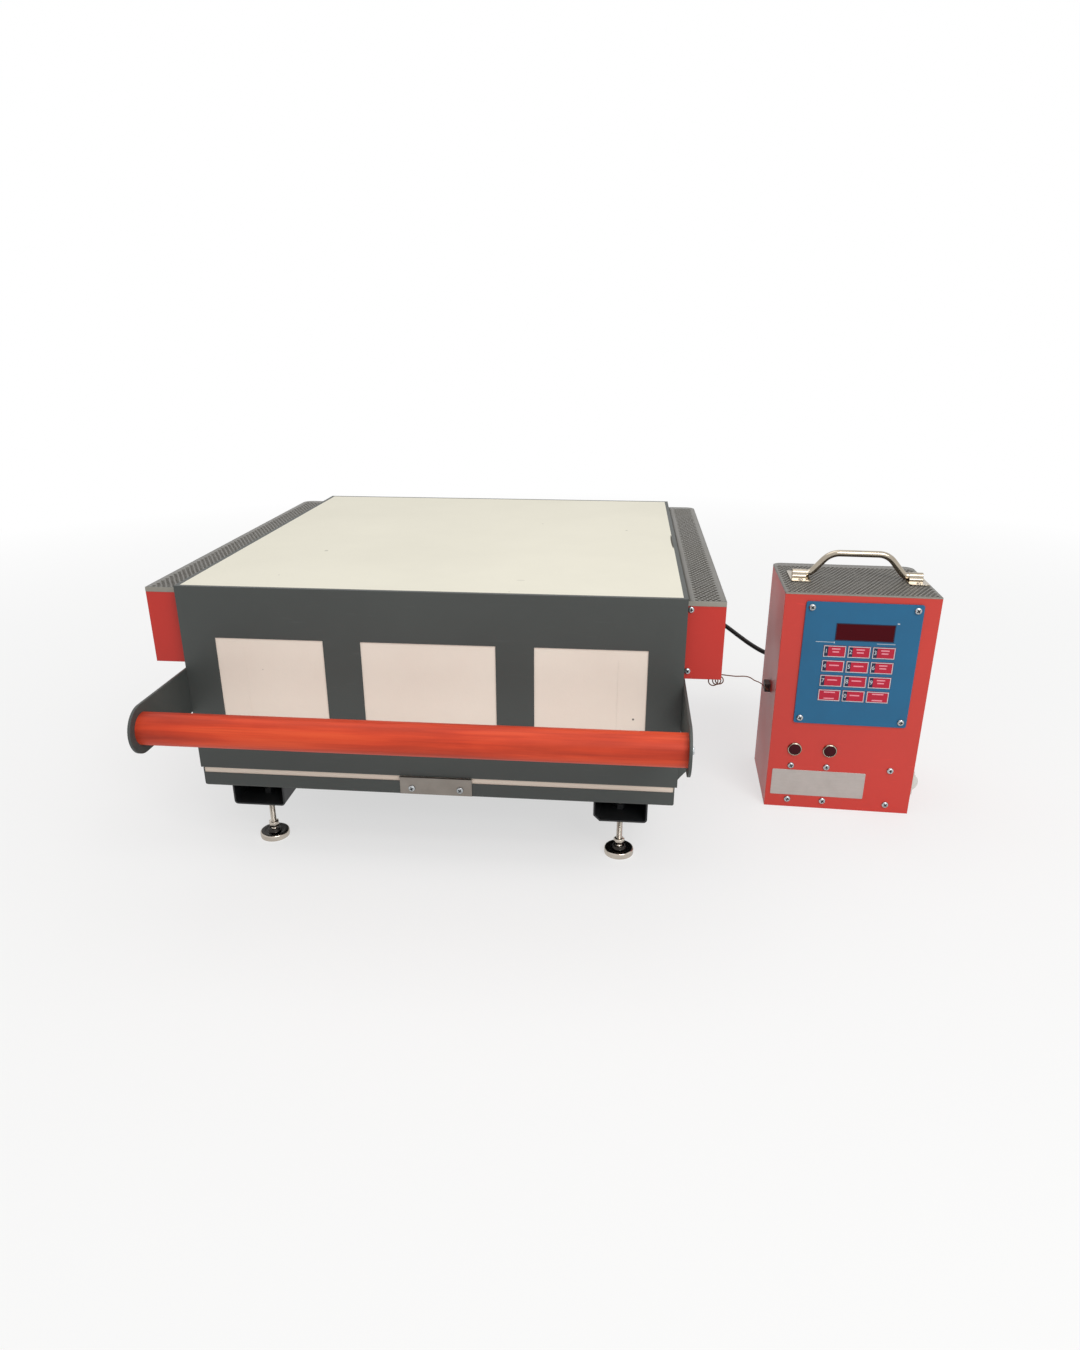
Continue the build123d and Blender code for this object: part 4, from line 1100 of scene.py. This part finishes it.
@dataclass
class Perforation:
    """Sheet with round holes in staggered rows, plain along its edges.

    Args:
        low: the sheet's low corner, in millimetres.
        high: its high corner.
        margin: the least plain width along each side: left, right, front and rear.
        round_left: whether the left rear corner is rounded.
        round_right: whether the right rear corner is rounded.
        pitch: the distance between holes.
        hole: a hole's radius.
        corner: the radius of its rounded rear corners.
    """

    low: tuple[float, float]
    high: tuple[float, float]
    margin: Area
    round_left: bool = True
    round_right: bool = True
    pitch: float = 6.35
    hole: float = 2.38
    corner: float = 14.0

    def rear(self, x: float) -> float:
        """The rear edge's place at x, with its rounded corners."""
        y, r = self.high[1], self.corner
        for is_round, inward in ((self.round_left, x - self.low[0]), (self.round_right, self.high[0] - x)):
            if is_round and inward < r:
                y = min(y, self.high[1] - r + math.sqrt(max(0.0, r * r - (r - inward) ** 2)))
        return y

    def add(self, shape: Shape, z: float) -> None:
        """Adds the sheet's upper face to a shape.

        Args:
            shape: the mesh that it joins.
            z: its height.
        """
        p, step = self.pitch, self.pitch * math.sqrt(3) / 2
        (x_low, y_low), (x_high, y_high) = self.low, self.high
        left, right, front, rear = self.margin
        wide, deep = x_high - x_low - left - right, y_high - y_low - front - rear
        columns, rows = int(wide / p), int(deep / step)
        x0, y0 = x_low + left + (wide - columns * p) / 2, y_low + front + (deep - rows * step) / 2
        xs = [x0 + p / 4 * i for i in range(4 * columns + 1)]
        ys = [y0 + step / 2 * i for i in range(2 * rows + 1)]
        for row in range(rows):
            odd, y = row % 2, y0 + row * step
            for column in range(columns - odd):
                self._cell(shape, x0 + 0.5 * p * odd + column * p, y, step, z)
            if odd:
                for ends in (xs[:3], xs[-3:]):
                    shape.grid(ends, (y, y + step / 2, y + step), z)
        shape.grid(xs, (y_low, ys[0]), z)
        shape.grid((x_low, xs[0]), (y_low, *ys), z)
        shape.grid((xs[-1], x_high), (y_low, *ys), z)
        for a, b in zip(xs, xs[1:]):
            edge = [(a, ys[-1], z), (b, ys[-1], z), (b, self.rear(b), z), (a, self.rear(a), z)]
            shape.faces(edge, [(0, 1, 2, 3)])
        for inner, outer in ((xs[0], x_low), (xs[-1], x_high)):
            arc = [inner + (outer - inner) * (i / 8) ** 0.6 for i in range(9)]
            points = [(inner, ys[-1], z)] + [(x, max(ys[-1], self.rear(x)), z) for x in arc]
            if points[-1][1] > ys[-1] + 0.01:
                points.append((outer, ys[-1], z))
            shape.faces(points, [range(len(points))])

    def _cell(self, shape: Shape, x: float, y: float, step: float, z: float) -> None:
        """A cell with its hole."""
        p = self.pitch
        rim = [(x + p * k / 4, y) for k in range(5)] + [(x + p, y + step / 2)]
        rim += [(x + p * (4 - k) / 4, y + step) for k in range(5)] + [(x, y + step / 2)]
        middle = Vector((x + p / 2, y + step / 2))
        hole = [tuple(middle + (Vector(point) - middle).normalized() * self.hole) for point in rim]
        shape.faces([(*point, z) for point in rim + hole], bands(len(rim)))


@dataclass
class Lid:
    """The hinged lid: boards, panels, terminal boxes, covers, bar and elements.

    Args:
        half: half the lid's width.
        top: the covers' height above the floor.
        front: the boxes' front.
        rear: the boxes' rear.
        box_half: half the width over the boxes.
        lip: the height of the covers' front edges.
        sheet: the covers' thickness.
        screw_x: the box screws' distance from the middle.
        screw_z: their two heights.
        bolt_x: the bolt seats' distance from the middle.
        bolt_y: their places from front to back.
        bolt_z: their height.
        element_y: the middle between the elements.
        element_z: the elements' height.
        element_pitch: their spacing.
        wound_half: half a wound stretch's length.
        tail_half: half the length over an element's straight tails.
        winding: the radius of the windings, and of the wire.
        turns: how many turns an element has.
    """

    half: float = 305.0
    top: float = 359.0
    front: float = 16.0
    rear: float = 600.0
    box_half: float = 350.0
    lip: float = 5.6
    sheet: float = 1.2
    screw_x: float = 309.5
    screw_z: tuple[float, float] = (349.0, 273.0)
    bolt_x: float = 308.0
    bolt_y: Point = (-113.0, 17.0, 73.0)
    bolt_z: float = 230.75
    element_y: float = 308.0
    element_z: float = 297.8
    element_pitch: float = 73.0
    wound_half: float = 227.0
    tail_half: float = 331.5
    winding: tuple[float, float] = (5.6, 0.85)
    turns: int = 52

    def covers(self) -> None:
        """Perforated covers of the terminal boxes, and their front edges turned down, painted paler as a
        highlight.
        """
        shape, edge = Shape(KILN), Shape(KILN)
        Perforation((self.half, self.front), (self.box_half, self.rear), (4.5, 2.5, 3.0, 14.5),
                    round_left=False).add(shape, self.top)
        Perforation((-self.box_half, self.front), (-self.half, self.rear), (2.5, 4.5, 3.0, 14.5),
                    round_right=False).add(shape, self.top)
        for hand in (-1, 1):
            low, high = sorted((hand * (self.half + 0.3), hand * (self.box_half - 0.1)))
            edge.slab((low, self.front - 0.5, self.top - self.lip), (high, self.front + 0.1, self.top))
        thicken(shape.piece("perforated_covers", "lid", [MESH], ["terminal_box_covers"]), self.sheet)
        edge.piece("cover_front_lips", "lid", [COVER_EDGE_HIGHLIGHT], bevel=0.15)

    def screws(self) -> None:
        """Screws of the terminal boxes, and the bolts of the bar and its brackets."""
        shape = Shape(KILN)
        for i, (hand, z) in enumerate((hand, z) for hand in (-1, 1) for z in self.screw_z):
            FASTENERS.pan(shape, (hand * self.screw_x, self.front, z), FORWARD, 25 + 31 * i)
        for hand in (-1, 1):
            for i, y in enumerate(self.bolt_y):
                FASTENERS.bolt(shape, (hand * self.bolt_x, y, self.bolt_z), (hand, 0, 0), 6.0, 4.0, 11 * i)
        shape.piece("lid_fasteners", "lid", [SCREW, RECESS], ["lid_screws"])

    def elements(self) -> None:
        """Wound heating elements in the roof's grooves."""
        shape = Shape(KILN)
        radius, wire = self.winding
        count, straight = 10 * self.turns, self.wound_half + 2
        for row in range(6):
            y = self.element_y + self.element_pitch * (row - 2.5)
            angles = [math.tau * self.turns * i / count for i in range(count + 1)]
            line = [(-self.wound_half + 2 * self.wound_half * i / count, y + radius * math.cos(angle),
                     self.element_z + radius * math.sin(angle)) for i, angle in enumerate(angles)]
            tails = [(x, y, self.element_z) for x in (-self.tail_half, -straight, straight, self.tail_half)]
            shape.tube([*tails[:2], *line, *tails[2:]], wire, 5)
        shape.piece("wound_elements", "lid", [ELEMENT], ["heating_elements"], smooth=80)

    def build(self) -> None:
        """Dresses the lid's nodes and adds its pieces."""
        dress(GREY, "lid_front_panel", "lid_rear_panel", "lid_side_panels", "handle_brackets")
        dress(ROOF, "roof_board")
        dress(BOARD, "wall_boards")
        dress(LID_RED, "left_terminal_box", "right_terminal_box")
        dress(LACQUER, "handle_bar")
        dress(STEEL, "lid_hinge_leaves")
        dress(CERAMIC, "thermocouple_probe")
        self.covers()
        self.screws()
        self.elements()


@dataclass
class Base:
    """Tray, hearth, rails and levelling feet.

    Args:
        feet: each foot's name and its spot, in the kiln's millimetres.
        rod: a rod's radius.
        thread: its thread's pitch and depth.
        low: the thread's lower end.
        high: the rod's upper end.
        ball: the radius of the rod's ball, and its middle's height.
    """

    feet: tuple[tuple[str, float, float], ...] = (
        ("front_left", -236.5, 45.0), ("front_right", 236.5, 45.0),
        ("rear_left", -236.5, 568.0), ("rear_right", 236.5, 568.0))
    rod: float = 3.97
    thread: tuple[float, float] = (1.41, 0.75)
    low: float = 22.5
    high: float = 86.0
    ball: tuple[float, float] = (5.0, 9.3)

    def threaded_rod(self, name: str, x: float, y: float) -> None:
        """A rod with its thread, its hexagon, its neck and its ball.

        Args:
            name: the foot's name.
            x: its place across the kiln.
            y: its place from front to back.
        """
        shape = Shape(KILN)
        (pitch, depth), (radius, middle) = self.thread, self.ball
        steps, rows = 16, int((self.high - self.low) / pitch * 4)
        rings = []
        for row in range(rows + 1):
            z = self.low + (self.high - self.low) * row / rows
            radii = [self.rod - depth * abs(2 * ((z / pitch - k / steps) % 1.0) - 1) for k in range(steps)]
            rings.append(shape.ring(Vector((x, y, z)), Vector(UP), Vector(RIGHT), radii))
        shape.skin(rings, capped=True)
        hexagon = [(0, 0), (6.2, 0), (7.2, 1.0), (7.2, 7.2), (6.4, 8.0), (0, 8.0)]
        shape.lathe((x, y, 14.5), UP, hexagon, 6, 0, 12)
        ball = [(radius * math.sin(a), middle - radius * math.cos(a))
                for a in (math.radians(8 + 10.5 * i) for i in range(14))]
        shape.lathe((x, y, 0), UP, [(0, ball[0][1]), *ball, (2.9, 14.0), (2.9, 14.6), (0, 14.6)])
        shape.piece(f"{name}_threaded_rod", f"{name}_rod", [NICKEL], [f"{name}_foot_rod"], smooth=50)

    @staticmethod
    def swivel_pad(name: str, x: float, y: float) -> None:
        """A plated pad with a rolled rim and a raised socket, its top and socket painted dark as a
        reflection of the kiln's underside.
        """
        shape = Shape(KILN)
        shape.lathe((x, y, 0), UP, [
            (0, 0), (18.6, 0), (19.3, 0.5), (19.5, 1.3), (19.5, 6.6), (19.1, 7.7), (18.2, 8.3)], 40)
        shape.lathe((x, y, 0), UP, [
            (18.2, 8.3), (17.2, 8.5), (13.0, 7.9), (9.2, 8.0), (8.5, 8.9), (8.2, 11.4), (7.6, 12.0),
            (5.0, 12.0), (4.4, 11.8), (5.08, 9.3), (4.6, 7.2), (2.6, 4.9), (0, 4.25)], 40, 1)
        shape.piece(f"{name}_swivel_pad", f"{name}_pad", [NICKEL, NICKEL_DARK_REFLECTION], [f"{name}_foot_pad"],
                    smooth=40)

    def build(self) -> None:
        """Dresses the base's nodes and adds the feet."""
        dress(GREY, "base_tray")
        dress(HEARTH, "hearth_board")
        dress(ZINC, "front_plate")
        # The rails' near-black colour is painted shade.
        dress(RAIL_SHADE_PAINT, "left_rail", "right_rail")
        dress(STEEL, "base_hinge_leaves", "hinge_pins")
        for foot in self.feet:
            self.threaded_rod(*foot)
            self.swivel_pad(*foot)


@dataclass
class Controller:
    """The standing controller: box, cover, faceplate, keys, lamps, plate and bail.

    Args:
        size: its width, depth and height.
        sheet: its cover's thickness.
        face: the faceplate's front.
        key_face: the keys' front.
        keys: the keys' names and numbers, in reading order.
        first_key: the middle of the first key: from the left, and above the floor.
        key_pitch: the keys' spacing across and down.
        key_half: half the width and height of the outline on a key.
        short_keys: the places in reading order of the keys with one printed bar.
        lines: each line on the faceplate: its left, right, height and thickness.
        display: the display window's left, bottom, right and top.
        plate: the nameplate's left, bottom, right and top.
        lamp_u: the lamps' places from the left.
        lamp_w: their height.
        head_size: its front screws' size against the usual one.
        bail_mid: the bail's middle, from the left.
        bail_depth: the bail's axis, from the front.
        bail_axis: the bail's axis above the floor.
        bail_rise: how far its grip stands above that axis.
        bail_half: half the length over its ends.
        bail_foot: half the distance between its lower bends' corners.
        bail_flat: half the distance between its upper bends' corners.
        bail_bar: its bar's radius.
        strap: the radius of the straps over its ends.
    """

    size: Point = (202.0, 165.0, 323.0)
    sheet: float = 1.2
    face: float = -2.0
    key_face: float = -2.4
    keys: tuple[tuple[str, str], ...] = (
        ("key_1", "1"), ("key_2", "2"), ("key_3", "3"), ("key_4", "4"), ("key_5", "5"), ("key_6", "6"),
        ("key_7", "7"), ("key_8", "8"), ("key_9", "9"), ("key_left", ""), ("key_0", "0"), ("key_right", ""))
    first_key: tuple[float, float] = (72.25, 243.3)
    key_pitch: tuple[float, float] = (32.2, 21.5)
    key_half: tuple[float, float] = (14.5, 8.05)
    short_keys: tuple[int, ...] = (3, 4, 6, 7, 10)
    lines: tuple[Area, ...] = ((46.0, 70.0, 256.3, 0.7), (70.0, 71.0, 256.0, 2.4),
                               (126.0, 150.0, 256.3, 0.7), (149.0, 152.0, 285.4, 1.6))
    display: Area = (71.5, 260.0, 146.5, 282.5)
    plate: Area = (7.0, 19.5, 137.0, 60.0)
    lamp_u: tuple[float, float] = (34.8, 83.4)
    lamp_w: float = 93.0
    head_size: float = 1.22
    bail_mid: float = 107.5
    bail_depth: float = 86.0
    bail_axis: float = 329.15
    bail_rise: float = 29.5
    bail_half: float = 82.0
    bail_foot: float = 64.0
    bail_flat: float = 39.0
    bail_bar: float = 4.7
    strap: float = 5.3

    def cover(self) -> None:
        """Perforated cover, and its front edge, painted pale as a highlight."""
        width, depth, height = self.size
        shape, edge = Shape(CONTROLLER), Shape(CONTROLLER)
        Perforation((0, 0), (width, depth), (2.5, 2.5, 2.5, 14.5)).add(shape, height)
        thicken(shape.piece("perforated_lid", "base", [MESH], ["controller_cover"]), self.sheet)
        edge.slab((0.2, -0.35, height - 1.7), (width - 0.2, 0.05, height))
        edge.piece("cover_front_edge", "base", [COVER_EDGE_HIGHLIGHT], bevel=0.1)

    @staticmethod
    def mark(shape: Shape, face: float, area: Area, depth: float, paint: int) -> None:
        """One printed patch, from its left, bottom, right and top, on a face that looks forward."""
        left, bottom, right, top = area
        shape.slab((left, face - depth, bottom), (right, face + 0.05, top), paint)

    @classmethod
    def outline(cls, shape: Shape, face: float, area: Area, line: float, paint: int) -> None:
        """Four printed lines that lie inside an area's edges."""
        left, bottom, right, top = area
        for bar in ((left, bottom, right, bottom + line), (left, top - line, right, top),
                    (left, bottom + line, left + line, top - line),
                    (right - line, bottom + line, right, top - line)):
            cls.mark(shape, face, bar, 0.1, paint)

    def legends(self) -> None:
        """Printed outline, number strip and plain bars on each key."""
        half_w, half_h = self.key_half
        for i, (key, number) in enumerate(self.keys):
            u = self.first_key[0] + self.key_pitch[0] * (i % 3)
            w = self.first_key[1] - self.key_pitch[1] * (i // 3)
            shape = Shape(CONTROLLER)
            self.outline(shape, self.key_face, (u - half_w, w - half_h, u + half_w, w + half_h), 1.0, 0)
            bars = [(1.6, 1.4, 13.0)] if i in self.short_keys else [(1.6, 3.6, 11.0), (1.6, -0.6, 9.0)]
            if number:
                self.mark(shape, self.key_face, (u - 13.5, w - 7.0, u - 8.6, w + 7.0), 0.08, 1)
                shape.words(number, (u - 11.05, self.key_face - 0.06, w), 8.6, 0.1)
            else:
                bars = [(0.0, 4.6, 15.0), (0.0, -4.6, 14.0)]
            for across, up, length in bars:
                area = (u + across - length / 2, w + up - 0.9, u + across + length / 2, w + up + 0.9)
                self.mark(shape, self.key_face, area, 0.08, 2)
            shape.piece(f"{key}_print", f"{key}_body", [WHITE_INK, NAVY_INK, PINK_INK])

    def print_lines(self) -> None:
        """Thin printed lines beside and below the display, and a dark rim round its window."""
        shape = Shape(CONTROLLER)
        for left, right, w, thick in self.lines:
            self.mark(shape, self.face, (left, w - thick / 2, right, w + thick / 2), 0.08, 0)
        left, bottom, right, top = self.display
        rim = 1.2
        self.outline(shape, self.face, (left - rim, bottom - rim, right + rim, top + rim), rim, 1)
        shape.piece("faceplate_print", "base", [WHITE_INK, NAVY_INK])

    def screws(self) -> None:
        """Screws of the kiln's front plate, of the faceplate and of the controller's front."""
        shape = Shape(KILN)
        turn = math.radians(CONTROLLER.turn)
        facing = (math.sin(turn), -math.cos(turn), 0.0)
        for i, x in enumerate((2.6 - 31.0, 2.6 + 31.0)):
            FASTENERS.pan(shape, (x, -1.2, 107.8), FORWARD, 20 + 40 * i, 1.15)
        spots = [(u, self.face, w) for u in (36.5, 172.5) for w in (143.0, 304.5)]
        spots += [(u, 0.0, w) for u in (32.0, 81.5, 169.5) for w in (12.5, 67.0)]
        back = KILN.matrix().inverted()
        for i, spot in enumerate(spots):
            FASTENERS.pan(shape, tuple(back @ CONTROLLER.at(*spot)), facing, 17 + 37 * i, self.head_size)
        shape.piece("front_fasteners", "base", [SCREW, RECESS], ["panel_screws"])

    def nameplate(self) -> None:
        """Bare metal plate on the lower front."""
        shape = Shape(CONTROLLER)
        shape.prism([(u, 0.0, w) for u, w in round_rectangle(self.plate, 1.5)], (0, -0.5, 0))
        shape.piece("bare_nameplate", "base", [PLATE], bevel=0.15)

    def lamps(self) -> None:
        """Domed lenses in stepped bezels."""
        bezels, lenses = Shape(CONTROLLER), Shape(CONTROLLER)
        for seat in ((u, 0, self.lamp_w) for u in self.lamp_u):
            bezels.lathe(seat, FORWARD, [(8.3, 0.0), (10.3, 0.0), (10.3, 0.9), (9.9, 1.7), (9.4, 2.4),
                                         (8.9, 2.7), (8.4, 2.5), (8.3, 0.0)], 36)
            lenses.lathe(seat, FORWARD, [(0, -22), (6.5, -22), (6.5, 0), (8.2, 0), (8.2, 1.4), (7.7, 2.1),
                                         (5.6, 2.65), (2.8, 2.92), (0, 3.0)], 36)
        bezels.piece("lamp_rings", "base", [CHROME], ["lamp_bezels"])
        lenses.piece("lamp_domes", "base", [LENS], ["lamp_lenses"])

    def bail(self) -> None:
        """Bent round bar with its two straight ends."""
        right = ((self.bail_flat, self.bail_rise), (self.bail_foot, 0.0), (self.bail_half, 0.0))
        corners = [Vector((self.bail_mid + a, self.bail_depth, self.bail_axis + b))
                   for a, b in [*((-a, b) for a, b in right[::-1]), *right]]
        shape = Shape(CONTROLLER)
        shape.tube(rounded(corners, (9.0, 28.0, 28.0, 9.0)), self.bail_bar, 16)
        shape.piece("bent_bail", "bail", [CHROME], ["controller_bail"], smooth=50)

    def plates(self) -> None:
        """Chromed plates with a raised strap over the bail's ends, and their rivets."""
        shape = Shape(CONTROLLER)
        top, radius, depth = self.size[2], self.strap, self.bail_depth
        foot = [(radius + 5, top + 1.4), (radius + 1.5, top + 2.6)]
        bow = [(-radius * math.cos(angle), self.bail_axis + radius * math.sin(angle))
               for angle in (math.radians(12 * k) for k in range(16))]
        strap = [(-a, b) for a, b in foot] + bow + foot[::-1]
        for hand in (-1, 1):
            low, high = sorted((self.bail_mid + hand * 66.0, self.bail_mid + hand * 93.0))
            flat = round_rectangle((low, 57.5, high, 114.5), 3.0)
            shape.prism([(u, v, top + 0.02) for u, v in flat], (0, 0, 1.5))
            shape.prism([(low + 4, depth + a, b) for a, b in strap], (high - low - 8, 0, 0))
            for v in (65.0, 107.0):
                shape.lathe(((low + high) / 2, v, top + 1.4), UP,
                            [(0, 0), (3.4, 0), (3.1, 0.9), (2.0, 1.5), (0, 1.7)], 18)
        shape.piece("embossed_plates", "base", [CHROME], ["bail_plates"], bevel=0.3)

    def build(self) -> None:
        """Dresses the controller's nodes and adds its pieces."""
        dress(BOX_RED, "controller_box")
        dress(BLUE, "faceplate")
        dress(DISPLAY, "display_window")
        dress(CRIMSON, *(key for key, _ in self.keys))
        dress(GREEN, "control_board")
        dress(BLACK, "power_gear")
        dress(PALE, "switch_frame", "power_rocker")
        dress(BROWN, "thermocouple_plug")
        for step in (self.cover, self.legends, self.print_lines, self.screws, self.nameplate, self.lamps,
                     self.bail, self.plates):
            step()


def main() -> None:
    """Builds the scene's parts in order."""
    logging.basicConfig(level=logging.INFO, format="%(name)s: %(message)s")
    studio = Studio()
    studio.camera()
    Cords().build()
    studio.build()
    for part in (Base(), Lid(), Controller()):
        part.build()
        LOG.info("built %s", type(part).__name__)


if __name__ == "__main__":
    main()
